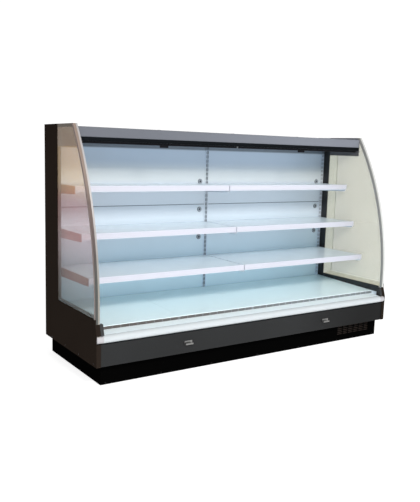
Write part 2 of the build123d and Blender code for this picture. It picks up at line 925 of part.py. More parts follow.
def fan_motor(x):
    """A motor on three arms behind the plate, its shaft reaching into the rotor."""
    face = fan_plate_depth + fan_plate_sheet
    back = face + motor_length
    body = Cylinder(motor_radius, motor_length - motor_arm_setback,
                    align=(Align.CENTER, Align.CENTER, Align.MIN))
    motor = Pos(0, back, 0) * Rot(90, 0, 0) * body
    shaft = Cylinder(motor_shaft_radius, motor_shaft_length + motor_length / 2,
                     align=(Align.CENTER, Align.CENTER, Align.MIN))
    motor += Pos(0, back - motor_length / 2, 0) * Rot(90, 0, 0) * shaft
    reach = fan_mouth_radius + 3 * fan_plate_sheet
    half = motor_arm_width / 2
    arm_back = back - motor_arm_setback
    for angle in (60, 180, 300):
        arm = block(-half, half, arm_back - motor_arm_sheet, arm_back, 0, reach)
        leg = block(-half, half, face, arm_back, reach - motor_arm_sheet, reach)
        motor += Rot(0, angle, 0) * (arm + leg)
    return Pos(x, 0, fan_height) * motor


def fan_rotor(x):
    """A hub with twisted blades, running inside the mouth of the plate."""
    near = fan_plate_depth + fan_plate_sheet - fan_rotor_length
    hub = Cylinder(fan_hub_radius, fan_rotor_length, align=(Align.CENTER, Align.CENTER, Align.MIN))
    root_plane = Plane.XY.offset(fan_hub_radius - fan_blade_sink)
    root = Rectangle(0.8 * fan_rotor_length, fan_blade_root)
    root = root_plane * Rot(0, 0, 90 - 1.5 * fan_blade_sweep) * root
    tip = Rectangle(0.9 * fan_rotor_length, fan_blade_tip)
    tip = Plane.XY.offset(fan_tip_radius) * Rot(0, 0, 90 + fan_blade_sweep) * tip
    blade = Rot(0, 90, 0) * loft([root, tip])
    rotor = hub
    for index in range(fan_blades):
        turn = Rot(0, 0, index * 360 / fan_blades)
        rotor += Pos(0, 0, fan_rotor_length / 2) * turn * blade
    bore = Cylinder(motor_shaft_radius + shaft_clearance, 4 * fan_rotor_length)
    rotor -= Pos(0, 0, -fan_rotor_length - fan_hub_cap) * bore
    return Pos(x, near + fan_rotor_length, fan_height) * Rot(90, 0, 0) * rotor


def evaporator_coil():
    """The fins on their tube core, the end plates on the tub floor, and the return bends."""
    half = coil_length / 2
    floor = tub_floor + liner_sheet
    low = floor + coil_lift
    high = low + coil_height
    far = coil_front + coil_depth
    coil = block(-half, half, coil_front, far, low, high)
    count = int(coil_length // coil_fin_pitch)
    step = coil_length / count
    middle = (coil_front + far) / 2
    gaps = []
    for index in range(count):
        left = -half + index * step + coil_fin / 2
        right = left + step - coil_fin
        gaps.append(block(left, right, coil_front - 1, middle - coil_spine / 2, low - 1, high + 1))
        gaps.append(block(left, right, middle + coil_spine / 2, far + 1, low - 1, high + 1))
    coil -= gaps
    for x in (-half - skin, half):
        coil += block(x, x + skin, coil_front, far, floor, high)
    spacing = coil_depth / 4
    for side in (-1, 1):
        for row in (low + coil_height / 4, high - coil_height / 4):
            for start in (coil_front + spacing / 2, coil_front + 2.5 * spacing):
                bend = Torus(spacing / 2, coil_tube_radius)
                bend &= Pos(side * spacing, 0, 0) * Box(2 * spacing, 3 * spacing, 3 * spacing)
                coil += Pos(side * (half + skin / 2), start + spacing / 2, row) * bend
    return coil


def drain_pipe():
    """From the tub floor down through the foam, then back under the tub."""
    top = tub_floor + liner_sheet
    turn = foam_bottom - 2 * drain_bend
    ring = Circle(drain_radius) - Circle(drain_radius - drain_wall)
    down = Pos(drain_side, drain_depth, turn) * extrude(ring, amount=top - turn)
    center = (drain_side, drain_depth + drain_bend, turn)
    elbow = revolve(Pos(drain_side, drain_depth, turn) * ring, axis=Axis(center, (1, 0, 0)),
                    revolution_arc=90)
    run_plane = Plane(origin=(drain_side, drain_depth + drain_bend, turn - drain_bend),
                      x_dir=(1, 0, 0), z_dir=(0, 1, 0))
    length = depth - drain_end_gap - drain_depth - drain_bend
    run = extrude(run_plane * ring, amount=length, dir=(0, 1, 0))
    return down + elbow + run


# ---------------------------------------------------------------- all the nodes

def save_fixed():
    save("base_frame", base_frame())
    save("kick_plate", kick_plate())
    save("levelling_feet", *levelling_feet())
    save("tub_outer_pan", tub_outer_pan())
    save("rear_outer_panel",
         block(-inner_half, inner_half, foam_back, depth, plinth_height, roof_height))
    roof_near = canopy_front + fascia_top_return
    save("roof_panel", block(-inner_half, inner_half, roof_near, foam_back, foam_top, roof_height))
    save("foam_cores", *foam_cores())
    save("inner_liners", *inner_liners())
    right_end = end_panel()
    save("right_end_panel", right_end)
    save("left_end_panel", mirror(right_end, about=Plane.YZ))
    panes = side_glass()
    save("right_side_glass", *panes)
    save("left_side_glass", *[mirror(pane, about=Plane.YZ) for pane in panes])
    save("glass_spacers", *both_sides(glass_spacer()))
    save("glass_trims", *both_sides(glass_trim()))
    save("glass_frames", *both_sides(glass_frame()))
    save("corner_blocks", *both_sides(corner_block()))
    save("front_panel", front_panel())
    save("nose_profile", nose_profile())
    save("nose_end_caps", *both_sides(nose_end_cap()))
    save("front_ledges", *front_ledges())
    save("blind_catches", *both_sides(blind_catch()))
    save("canopy_fascia", canopy_fascia())
    save("canopy_end_plates", *both_sides(canopy_end_plate()))
    save("ceiling_duct_panel", ceiling_duct_panel())
    save("discharge_honeycomb", discharge_honeycomb())
    save("canopy_lights", *canopy_lights())
    save("blind_cassette", blind_cassette())
    save("duct_panels", *both_sides(duct_panel()))
    save("uprights", *uprights())
    save("lamp_sockets", *lamp_sockets())
    save("shelf_brackets", *shelf_brackets())
    save("evaporator_coil", evaporator_coil())
    save("fan_plate", fan_plate())
    save("fan_motors", *[fan_motor(x) for x in fan_centers()])
    save("drain_pipe", drain_pipe())


def save_moving():
    pieces = {"blind_roller": blind_roller(), "blind_cloth": blind_cloth(), "blind_bar": blind_bar()}
    for name, piece in pieces.items():
        save(f"right_{name}", piece)
        save(f"left_{name}", mirror(piece, about=Plane.YZ))
    rows = ("upper", "middle", "lower")
    for row, slot, reach in zip(rows, shelf_slots, shelf_reaches):
        front = upright_front - reach
        pan = shelf_pan(slot, front)
        rail = price_rail(slot, front)
        save(f"{row}_right_shelf", pan)
        save(f"{row}_left_shelf", mirror(pan, about=Plane.YZ))
        save(f"{row}_right_price_rail", rail)
        save(f"{row}_left_price_rail", mirror(rail, about=Plane.YZ))
    for index, pan in enumerate(deck_pans()):
        save(f"deck_pan_{index + 1}", pan)
    for index, x in enumerate(fan_centers()):
        save(f"fan_rotor_{index + 1}", fan_rotor(x))


os.makedirs("parts", exist_ok=True)
save_fixed()
save_moving()
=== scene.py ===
import bpy
import json
import math
from mathutils import Matrix, Vector


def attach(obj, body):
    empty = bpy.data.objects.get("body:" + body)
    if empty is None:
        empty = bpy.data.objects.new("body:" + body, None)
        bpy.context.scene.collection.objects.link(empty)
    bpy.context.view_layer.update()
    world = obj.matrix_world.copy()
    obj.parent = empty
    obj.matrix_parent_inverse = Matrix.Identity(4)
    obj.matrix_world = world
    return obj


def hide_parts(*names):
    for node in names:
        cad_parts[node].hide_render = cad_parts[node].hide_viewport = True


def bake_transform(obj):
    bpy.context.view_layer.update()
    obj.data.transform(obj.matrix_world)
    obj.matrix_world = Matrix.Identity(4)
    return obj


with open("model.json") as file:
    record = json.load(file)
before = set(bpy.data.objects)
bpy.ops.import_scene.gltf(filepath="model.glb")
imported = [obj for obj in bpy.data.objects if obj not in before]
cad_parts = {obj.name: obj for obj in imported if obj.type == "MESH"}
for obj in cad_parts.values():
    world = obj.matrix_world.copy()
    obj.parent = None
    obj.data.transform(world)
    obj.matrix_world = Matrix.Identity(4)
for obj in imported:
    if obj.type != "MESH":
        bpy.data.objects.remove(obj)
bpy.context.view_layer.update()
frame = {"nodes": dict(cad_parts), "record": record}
nodes = frame["nodes"]


# camera, lights and surround

cameraView = {"place": (-2.8941, -3.9584, 1.4573), "turn": 0.6006, "down": 0.1506,
              "roll": 0.0309, "lens": 47.09}

lightLook = {
    "key": {"place": (-0.9, -4.2, 3.6), "aim": (0.0, 0.3, 0.8), "size": 0.9, "power": 188,
            "colour": (1.0, 0.96, 0.92)},
    "fill": {"place": (-1.2, -4.0, 0.7), "aim": (0.0, 0.35, 0.45), "size": 1.6, "power": 24,
             "colour": (0.88, 0.96, 1.0)},
    "side": {"place": (-4.4, -2.4, 2.2), "aim": (-0.6, 0.0, 0.7), "size": 2.4, "power": 10,
             "colour": (1.0, 1.0, 1.0)},
    "end": {"place": (3.0, -3.3, 1.5), "aim": (0.9, 0.0, 0.4), "size": 1.6, "power": 22,
            "colour": (0.84, 0.93, 1.0)},
    "surround": 0.48, "background": 1.06, "floor": 0.5, "floorGlow": 0.8, "floorSpread": 16}


def addCamera(look):
    turn, down, roll = look["turn"], look["down"], look["roll"]
    ahead = Vector((math.sin(turn) * math.cos(down), math.cos(turn) * math.cos(down), -math.sin(down)))
    level = Vector((math.cos(turn), -math.sin(turn), 0))
    rise = level.cross(ahead)
    across = level * math.cos(roll) + rise * math.sin(roll)
    upwards = rise * math.cos(roll) - level * math.sin(roll)
    pose = Matrix((across, upwards, -ahead)).transposed().to_4x4()
    pose.translation = look["place"]
    bpy.ops.object.camera_add()
    camera = bpy.context.object
    camera.name = "photoCamera"
    camera.matrix_world = pose
    camera.data.sensor_width = 36
    camera.data.lens = look["lens"]
    bpy.context.scene.camera = camera


def addAreaLight(name, look):
    bpy.ops.object.light_add(type="AREA", location=look["place"])
    lamp = bpy.context.object
    lamp.name = name
    towards = Vector(look["aim"]) - Vector(look["place"])
    lamp.rotation_euler = towards.to_track_quat("-Z", "Y").to_euler()
    lamp.data.size = look["size"]
    lamp.data.energy = look["power"]
    lamp.data.color = look["colour"]


def addSurround(look):
    world = bpy.data.worlds.new("studio")
    bpy.context.scene.world = world
    world.use_nodes = True
    tree = world.node_tree
    sky = tree.nodes["Background"]
    sky.inputs["Color"].default_value = (1, 1, 1, 1)
    path = tree.nodes.new("ShaderNodeLightPath")
    strength = tree.nodes.new("ShaderNodeMapRange")
    tree.links.new(path.outputs["Is Camera Ray"], strength.inputs["Value"])
    strength.inputs["To Min"].default_value = look["surround"]
    strength.inputs["To Max"].default_value = look["background"]
    tree.links.new(strength.outputs["Result"], sky.inputs["Strength"])


addCamera(cameraView)
for name in ("key", "fill", "side", "end"):
    addAreaLight(name + "Light", lightLook[name])
addSurround(lightLook)
bpy.context.scene.view_settings.view_transform = "Standard"
print("camera and lights placed")


# finishes: a wrapped socket takes part in sums, and a finish holds one material

class Wire:
    def __init__(self, tree, socket):
        self.tree = tree
        self.socket = socket

    def sum(self, operation, first, second):
        node = self.tree.nodes.new("ShaderNodeMath")
        node.operation = operation
        plug(self.tree, node.inputs[0], first)
        plug(self.tree, node.inputs[1], second)
        return Wire(self.tree, node.outputs[0])

    def __add__(self, other):
        return self.sum("ADD", self, other)

    def __radd__(self, other):
        return self.sum("ADD", other, self)

    def __sub__(self, other):
        return self.sum("SUBTRACT", self, other)

    def __rsub__(self, other):
        return self.sum("SUBTRACT", other, self)

    def __mul__(self, other):
        return self.sum("MULTIPLY", self, other)

    def __rmul__(self, other):
        return self.sum("MULTIPLY", other, self)

    def __gt__(self, other):
        return self.sum("GREATER_THAN", self, other)

    def __lt__(self, other):
        return self.sum("LESS_THAN", self, other)


def plug(tree, socket, value):
    if isinstance(value, Wire):
        tree.links.new(value.socket, socket)
    elif socket.type == "RGBA":
        socket.default_value = (*value, 1)
    else:
        socket.default_value = value


def tone(red, green, blue):    # a colour as a picture gives it, 0 to 255
    return tuple((v / 255 / 12.92) if v < 10.3 else ((v / 255 + 0.055) / 1.055) ** 2.4
                 for v in (red, green, blue))


class Finish:
    def __init__(self, name):
        self.material = bpy.data.materials.new(name)
        self.material.use_nodes = True
        self.tree = self.material.node_tree
        self.shader = self.tree.nodes["Principled BSDF"]

    def add(self, kind, settings=None, sockets=None, out=0):
        node = self.tree.nodes.new("ShaderNode" + kind)
        for key, value in (settings or {}).items():
            if key == "stops":
                for spot, (place, shade) in enumerate(value):
                    stop = node.color_ramp.elements[spot] if spot < 2 else node.color_ramp.elements.new(place)
                    stop.position = place
                    stop.color = (*shade, 1)
            else:
                setattr(node, key, value)
        for key, value in (sockets or {}).items():
            plug(self.tree, node.inputs[key], value)
        return Wire(self.tree, node.outputs[out])

    def point(self, stretch=(1, 1, 1)):    # where a point is, for patterns
        spot = self.add("TexCoord", out=3)
        return self.add("Mapping", sockets={"Vector": spot, "Scale": stretch})

    def noise(self, point, scale, detail=2, rough=0.5):
        return self.add("TexNoise", sockets={"Vector": point, "Scale": scale, "Detail": detail,
                                             "Roughness": rough})

    def remap(self, value, low, high, toLow=0.0, toHigh=1.0):
        return self.add("MapRange", {"interpolation_type": "SMOOTHSTEP"},
                        {"Value": value, "From Min": low, "From Max": high,
                         "To Min": toLow, "To Max": toHigh})

    def mix(self, share, first, second):    # from the first colour to the second
        return self.add("Mix", {"data_type": "RGBA"}, {0: share, 6: first, 7: second}, out=2)

    def tint(self, colour, strength):    # a colour made lighter or darker by a value
        return self.add("VectorMath", {"operation": "SCALE"}, {0: colour, 3: strength})

    def facing(self, axis):    # how much a face looks along x, y or z
        normal = self.add("NewGeometry", out=1)
        return self.add("SeparateXYZ", sockets={0: normal}, out=axis)

    def place(self, axis):    # where a point is along x, y or z
        return self.add("SeparateXYZ", sockets={0: self.point()}, out=axis)

    def ramp(self, value, stops):    # its first two stops are its ends
        return self.add("ValToRGB", {"stops": stops}, {0: value})

    def size(self, value):    # a value without its sign
        return self.add("Math", {"operation": "ABSOLUTE"}, {0: value})

    def vary(self, noise, low, high):    # most of a noise's values lie between 0.3 and 0.7
        return self.remap(noise, 0.3, 0.7, low, high)

    def fromLeft(self):    # 0 near the cabinet's left end, 1 near its right end
        return self.remap(self.place(0), -1.0, 0.9)

    def leftHalf(self):    # 1 in the left half, 0 in the right
        return self.remap(self.place(0), 0.1, -0.1)

    def dots(self, scale):    # distance to the nearest of evenly set points
        return self.add("TexVoronoi", sockets={"Vector": self.point(), "Scale": scale, "Randomness": 0.0})

    def bands(self, spot, direction, scale, sway=0.0):
        return self.add("TexWave", {"wave_type": "BANDS", "bands_direction": direction},
                        {"Vector": spot, "Scale": scale, "Distortion": sway})

    def edge(self, radius):    # 1 on sharp edges, 0 elsewhere
        soft = self.add("Bevel", {"samples": 4}, {"Radius": radius})
        sharp = self.add("NewGeometry", out=1)
        alike = self.add("VectorMath", {"operation": "DOT_PRODUCT"}, {0: soft, 1: sharp}, out=1)
        return self.remap(1 - alike, 0.02, 0.25)

    def bump(self, height, strength, distance=0.0004):    # its depth in metres
        return self.add("Bump", sockets={"Height": height, "Strength": strength, "Distance": distance})

    def set(self, **values):
        for key, value in values.items():
            plug(self.tree, self.shader.inputs[key.replace("_", " ")], value)
        return self.material


# painted steel: slow drift in shade, orange peel, wiped smears, dust that lies on level faces
def paintedSteel(name, colour, look):
    paint = Finish(name)
    point = paint.point()
    smear = paint.noise(paint.point((1, 1, 1.5)), 6, 5, 0.6)
    peel = paint.noise(point, look.get("peelScale", 480))
    speck = paint.remap(paint.noise(point, 160, 1), 0.70, 0.78)
    drift = paint.vary(paint.noise(point, 1.7, 3), 1 - look["drift"], 1 + look["drift"])
    shade = paint.tint(colour, drift)
    shade = paint.mix(speck * look["speck"], shade, look.get("speckColour", (0.1, 0.09, 0.08)))
    if look.get("across"):    # painted light: a slow change in brightness along the cabinet
        low, high, first, last = look["across"]
        shade = paint.tint(shade, paint.remap(paint.place(0), low, high, first, last))
    # painted shade on the ledge's slotted face and a painted shadow at its foot
    if look.get("riser"):
        shade = riserBand(paint, shade, look["riser"])
    if look.get("wear"):
        patch = paint.remap(paint.noise(point, 35, 4), 0.45, 0.7)
        worn = paint.edge(0.0018) * patch * look["wear"]
        shade = paint.mix(worn, shade, look["wearColour"])
    if look.get("dust"):
        level = paint.remap(paint.facing(2), 0.6, 0.98)
        lie = paint.remap(paint.noise(point, 3.2, 7, 0.7), 0.2, 0.9)
        shade = paint.mix(level * lie * look["dust"], shade, tone(150, 148, 143))
    smudge = look["smudge"]
    rough = paint.vary(smear, look["rough"] - smudge, look["rough"] + smudge)
    return paint.set(Base_Color=shade, Roughness=rough, Normal=paint.bump(peel, look["peel"]),
                     Specular_IOR_Level=look.get("specular", 0.5), Coat_Weight=look.get("coat", 0.0),
                     Coat_Roughness=0.15)


# the slotted face of the ledge is painted grey between its slots, a tone that also carries painted shade and
# grows darker towards the left end, and a painted shadow lies on the level at its foot
def riserBand(paint, shade, look):
    height, back = paint.place(2), paint.place(1)
    low, depth = look["low"], look["depth"]
    shadeBand = (back > depth) * (height > low) * (height < look["high"]) * (paint.facing(1) < -0.5)
    foot = paint.remap(back, depth - look["footReach"], depth, 0.0, look["footShade"])
    foot = foot * (height < low + 0.001) * (height > low - 0.003)
    slotShade = paint.mix(paint.fromLeft(), look["left"], look["right"])
    return paint.mix(shadeBand * look["cover"], paint.mix(foot, shade, slotShade), slotShade)


# the back wall: white above, bluer towards the deck as painted light where the cold light pools, and painted
# shade from the canopy
def shadedWhite(name, high, low, look):
    paint = Finish(name)
    point = paint.point()
    height = paint.remap(paint.place(2), look["from"], look["to"])
    drift = paint.vary(paint.noise(point, 1.4, 3), 1 - look["drift"], 1 + look["drift"])
    shade = paint.tint(paint.mix(height, low, high), drift)
    # painted light and shade in bands by height
    for start, end, share, colour in look["levels"]:
        shade = paint.mix(paint.remap(paint.place(2), start, end, 0.0, share), shade, colour)
    smear = paint.noise(paint.point((3, 1, 0.6)), 5, 5, 0.6)
    fleck = paint.remap(paint.noise(point, 190, 1), 0.71, 0.78)
    shade = paint.mix(fleck * 0.04, shade, tone(170, 172, 172))
    # painted shade: faces set back behind the sheet's front, in its joint and behind its slots, are darkened
    recessShade = (paint.place(1) > look["jointDepth"]) * (paint.facing(1) < -0.9)
    shade = paint.mix(recessShade * 0.8, shade, look["recessShadeColour"])
    if look.get("channel"):    # painted shade along the slotted channel down the middle
        off = paint.size(paint.place(0))
        shadeBand = paint.remap(off, look["channel"] + 0.001, look["channel"]) * look["channelShade"]
        shade = paint.mix(shadeBand, shade, look["recessShadeColour"])
    rough = paint.vary(smear, look["rough"] - look["smudge"], look["rough"] + look["smudge"])
    peel = paint.noise(point, 480)
    return paint.set(Base_Color=shade, Roughness=rough, Normal=paint.bump(peel, look["peel"]),
                     Specular_IOR_Level=look["specular"])


def lampSocket(name, look):    # grey moulding with its bore painted dark as painted shade
    mould = Finish(name)
    grain = mould.noise(mould.point(), 600)
    deep = mould.remap(mould.place(1), look["boreDepth"], look["boreDepth"] + 0.0006)
    flow = mould.vary(mould.noise(mould.point(), 40, 4), 0.94, 1.04)
    return mould.set(Base_Color=mould.tint(mould.mix(deep, look["ring"], look["bore"]), flow),
                     Roughness=mould.vary(grain, 0.36, 0.46), Normal=mould.bump(grain, 0.15, 0.0003))


# the bar between the panes, in painted light and shade: dark behind the left glass, milky behind the right
# with a painted glow that stands for daylight coming through it as it does through the pane
def spacerBar(name, look):
    bar = Finish(name)
    left = bar.leftHalf()
    drift = bar.vary(bar.noise(bar.point(), 12, 4), 0.95, 1.04)
    hole = bar.remap(bar.dots(look["holes"]), 0.26, 0.18) * look["holeShade"]    # breathing holes
    shade = bar.mix(hole, bar.tint(bar.mix(left, look["right"], look["left"]), drift), tone(60, 58, 54))
    return bar.set(Base_Color=shade, Roughness=bar.remap(drift, 0.95, 1.04, 0.42, 0.56),
                   Normal=bar.bump(1 - hole, 0.1), Emission_Strength=1.0,
                   Emission_Color=bar.mix(left, bar.tint(look["paintedGlow"], drift), (0.0, 0.0, 0.0)))


# powder coat of the brackets and the canopy's end plates, another colour at the left end, where the
# tinted glass stands beside them
def endPaint(name, look):
    paint = Finish(name)
    point = paint.point()
    outer = paint.remap(paint.place(0), look["from"], look["to"])
    shade = paint.mix(outer, look["main"], look["leftEnd"])
    drift = paint.vary(paint.noise(point, 6, 4), 0.94, 1.05)
    rub = paint.edge(0.0012) * paint.remap(paint.noise(point, 60, 3), 0.45, 0.65) * 0.4
    shade = paint.mix(rub, paint.tint(shade, drift), tone(188, 184, 180))
    peel = paint.noise(point, 420)
    return paint.set(Base_Color=shade, Roughness=paint.vary(paint.noise(point, 14, 5), 0.34, 0.48),
                     Normal=paint.bump(peel, 0.15))


# the channel on the glass edge: a bright inner half and a brown outer half to the front, dull legs
# its tones differ by end and height as painted light and shade, and the brown stands for a painted reflection
def edgeTrim(name, look):
    metal = Finish(name)
    lines = metal.noise(metal.point((40, 1.5, 1.5)), 30, 3, 0.6)
    ahead = metal.remap(metal.facing(1), -0.15, -0.7)
    left = metal.leftHalf()
    off = metal.size(metal.place(0)) - look["middle"]
    outer = metal.remap(off, -0.0006, 0.0006)
    legs = metal.mix(left, look["rightLegs"], look["leftLegs"])
    height = metal.remap(metal.place(2), 0.4, 1.6)
    bright = metal.mix(left, look["rightInner"], metal.ramp(height, look["leftInner"]))
    dull = metal.mix(left, look["rightOuter"], metal.ramp(height, look["leftOuter"]))
    shade = metal.mix(ahead, legs, metal.mix(outer, bright, dull))
    shade = metal.tint(shade, metal.vary(lines, 0.93, 1.05))
    rough = metal.remap(metal.noise(metal.point(), 14, 5), 0.35, 0.7, 0.36, 0.52)
    seam = metal.remap(off, look["seam"], 0.0) * metal.remap(off, -look["seam"], 0.0)
    return metal.set(Base_Color=shade, Roughness=rough, Metallic=0.25,
                     Normal=metal.bump(lines * 0.3 - seam, 0.4))


# moulded or extruded plastic: fine grain, faint flow marks, handling marks in the gloss
def plastic(name, colour, look):
    resin = Finish(name)
    point = resin.point()
    grain = resin.noise(point, look.get("grainScale", 500))
    flow = resin.noise(resin.point((0.4, 4, 4)), 5, 4)
    marks = resin.remap(resin.noise(point, 22, 6, 0.7), 0.5, 0.75)
    shade = resin.tint(colour, resin.vary(flow, 1 - look["drift"], 1 + look["drift"]))
    shade = resin.mix(marks * look.get("grime", 0.04), shade, tone(120, 112, 100))
    rough = resin.remap(marks + flow * 0.4, 0.1, 1.0, look["rough"], look["rough"] + 0.16)
    return resin.set(Base_Color=shade, Roughness=rough, Normal=resin.bump(grain, look["grain"], 0.0003),
                     Coat_Weight=look.get("coat", 0.0), Coat_Roughness=0.08)


# drawn or brushed metal: fine lines along one direction, dull patches from hands
def brushedMetal(name, colour, look):
    metal = Finish(name)
    lines = metal.noise(metal.point(look["along"]), look["scale"], 3, 0.6)
    dull = metal.remap(metal.noise(metal.point(), 12, 5, 0.6), 0.4, 0.75)
    shade = metal.tint(colour, metal.vary(lines, 0.88, 1.08))
    shade = metal.mix(dull * 0.25, shade, tone(128, 124, 118))
    rough = metal.remap(lines + dull * 0.5, 0.2, 1.1, look["rough"] - 0.08, look["rough"] + 0.14)
    return metal.set(Base_Color=shade, Roughness=rough, Metallic=look["metallic"],
                     Normal=metal.bump(lines, look["depth"], 0.0002))


# tinted safety glass with wiping haze and enamel fired on along its top edge: an even beige on the right
# end, on the left beige above, mauve in the middle and grey below, and denser beside the canopy
# on the left these colours and the darkening beside the canopy are painted light and shade of what shows
# through the glass, and the enamel's two tones at the two ends are painted light
def sideGlass(name, look):
    pane = Finish(name)
    haze = pane.remap(pane.noise(pane.point((1, 0.5, 0.5)), 5, 6, 0.6), 0.35, 0.8)
    rim = pane.remap(pane.add("LayerWeight", sockets={"Blend": 0.35}, out=1), 0.2, 1.0)
    left = pane.leftHalf()
    height = pane.remap(pane.place(2), look["from"], look["to"])
    canopy = pane.remap(pane.place(2), look["canopyLow"], look["canopyLow"] + 0.008)
    enamel = pane.remap(pane.place(2), look["enamelLow"], look["enamelLow"] + 0.001)
    leftPaintedLight = pane.mix(canopy, pane.ramp(height, look["leftLightStops"]), look["canopyTint"])
    tint = pane.mix(haze * 0.3, pane.mix(left, look["rightTint"], leftPaintedLight), look["hazeColour"])
    tint = pane.mix(enamel, tint, pane.mix(left, look["rightEnamel"], look["leftEnamel"]))
    body = look["body"] + left * (look["leftBody"] - look["body"])
    body = body + canopy * left * (look["canopyBody"] - look["leftBody"])
    solid = body + haze * look["haze"] + rim * look["rim"]
    solid = solid + enamel * (1 - solid)
    return pane.set(Base_Color=tint, Alpha=solid, Roughness=pane.remap(haze, 0, 1, 0.03, 0.11), IOR=1.5,
                    Specular_IOR_Level=0.4)


def rigidFoam(name):
    foam = Finish(name)
    cells = foam.add("TexVoronoi", sockets={"Vector": foam.point(), "Scale": 420})
    stain = foam.noise(foam.point(), 8, 5)
    shade = foam.mix(stain, tone(214, 190, 128), tone(232, 214, 164))
    shade = foam.mix(foam.remap(cells, 0, 0.5) * 0.3, tone(176, 150, 96), shade)
    return foam.set(Base_Color=shade, Roughness=0.92, Normal=foam.bump(cells, 0.5, 0.0008))


def blindCloth(name, look):    # an aluminised weave with rows of pin holes; its map is in metres of cloth
    cloth = Finish(name)
    spot = cloth.add("TexCoord", out=2)
    warp = cloth.bands(spot, "X", look["threads"], 0.3)
    weft = cloth.bands(spot, "Y", look["threads"], 0.3)
    weave = warp * 0.5 + weft * 0.5
    rows = cloth.add("TexVoronoi", {"voronoi_dimensions": "2D"},
                     {"Vector": spot, "Scale": look["pins"], "Randomness": 0.0})
    pins = rows < look["pinSize"]
    creases = cloth.add("Mapping", sockets={"Vector": spot, "Scale": (0.5, 5, 1)})
    crease = cloth.noise(creases, 4, 4)
    # the colour is darker where the weave and creases lie low: painted shade
    shade = cloth.tint(look["colour"], cloth.remap(weave + crease * 0.6, 0.3, 1.3, 0.82, 1.06))
    shade = cloth.mix(pins * 0.75, shade, look["pinColour"])
    height = weave * 0.4 + crease - pins * 0.8
    return cloth.set(Base_Color=shade, Roughness=cloth.vary(crease, 0.46, 0.64), Metallic=0.3,
                     Normal=cloth.bump(height, 0.3, 0.0008))


def lampCover(name):    # a ribbed opal cover, unlit, a little yellowed in patches
    cover = Finish(name)
    ribs = cover.bands(cover.point(), "Y", 110)
    age = cover.noise(cover.point((0.3, 1, 1)), 4, 3)
    return cover.set(Base_Color=cover.mix(age, tone(236, 240, 243), tone(222, 226, 224)),
                     Roughness=cover.remap(ribs, 0, 1, 0.22, 0.36), Normal=cover.bump(ribs, 0.25, 0.0005))


def perforatedSheet(name, look):    # painted sheet with round holes in rows, lighter towards the right end as painted light
    sheet = Finish(name)
    hole = sheet.remap(sheet.dots(look["holes"]), 0.34, 0.26)
    drift = sheet.vary(sheet.noise(sheet.point(), 12, 4), 0.92, 1.06)
    plain = sheet.mix(sheet.fromLeft(), look["left"], look["right"])
    shade = sheet.mix(hole, sheet.tint(plain, drift), look["holeColour"])
    return sheet.set(Base_Color=shade, Roughness=sheet.remap(drift, 0.92, 1.06, 0.48, 0.6),
                     Normal=sheet.bump(1 - hole, 0.5, 0.0006))


def labelCard(name):    # blank card under a clear cover
    card = Finish(name)
    fibre = card.noise(card.point((1, 4, 4)), 90, 4, 0.6)
    shade = card.tint(tone(192, 194, 206), card.vary(fibre, 0.985, 1.01))
    scuff = card.remap(card.noise(card.point((0.5, 3, 6)), 18, 5), 0.55, 0.75)
    return card.set(Base_Color=shade, Roughness=card.remap(scuff, 0, 1, 0.3, 0.42),
                    Normal=card.bump(fibre, 0.05, 0.0002))


def bareFins(name):    # aluminium fins: fine creases and a dull oxide bloom
    foil = Finish(name)
    crease = foil.noise(foil.point((6, 1, 1)), 60, 5, 0.6)
    bloom = foil.noise(foil.point(), 16, 6)
    shade = foil.tint(tone(190, 192, 194), foil.vary(bloom, 0.8, 1.05))
    return foil.set(Base_Color=shade, Metallic=0.85, Roughness=foil.vary(bloom, 0.34, 0.55),
                    Normal=foil.bump(crease, 0.3))


wallShade = {"from": 0.45, "to": 1.1, "specular": 0.4, "smudge": 0.02,
             "levels": [(1.2, 1.24, 1.0, tone(203, 211, 215)),    # painted light above the top shelves
                        (1.28, 1.385, 1.0, tone(169, 185, 202)),    # painted shade of the canopy
                        (1.455, 1.47, 0.75, tone(40, 48, 56))]}    # painted shadow next to the ceiling
whiteSheet = {"drift": 0.012, "speck": 0.0, "peel": 0.05, "rough": 0.34, "smudge": 0.015}
darkSheet = {"drift": 0.06, "speck": 0.1, "peel": 0.12, "rough": 0.44, "wear": 0.25, "smudge": 0.03,
             "wearColour": tone(70, 68, 66), "speckColour": (0.03, 0.03, 0.028), "specular": 0.12}
zincLook = {"along": (1, 1, 8), "scale": 60, "rough": 0.45, "metallic": 0.9, "depth": 0.3}
ledgeRiserShade = {"depth": -0.3078, "low": 0.3348, "high": 0.3538, "cover": 0.95, "footReach": 0.05,
              "footShade": 0.55, "left": tone(88, 84, 84), "right": tone(138, 148, 154)}
trimLook = {"middle": 1.262, "seam": 0.0008,
            "rightLegs": tone(142, 142, 140), "leftLegs": tone(128, 112, 108),
            "rightInner": tone(128, 130, 128), "rightOuter": tone(205, 206, 204),
            "leftInner": [(0.1, tone(136, 133, 126)), (1.0, tone(168, 166, 166)), (0.4, tone(152, 149, 148))],
            "leftOuter": [(0.1, tone(64, 66, 64)), (1.0, tone(140, 124, 114)), (0.4, tone(78, 66, 64)),
                          (0.66, tone(80, 66, 62)), (0.85, tone(122, 108, 100))]}
glassLook = {"body": 0.28, "leftBody": 0.2, "canopyBody": 0.45, "haze": 0.02, "rim": 0.06,
             "from": 0.42, "to": 1.5, "canopyLow": 1.456, "enamelLow": 1.583,
             "rightTint": tone(206, 206, 186), "hazeColour": tone(206, 207, 196),
             "canopyTint": tone(174, 151, 131),
             "rightEnamel": tone(112, 116, 126), "leftEnamel": tone(86, 76, 64),
             "leftLightStops": [(0.0, tone(70, 74, 70)), (1.0, tone(250, 212, 162)), (0.35, tone(198, 168, 172)),
                           (0.7, tone(202, 142, 138)), (0.86, tone(246, 214, 168))]}

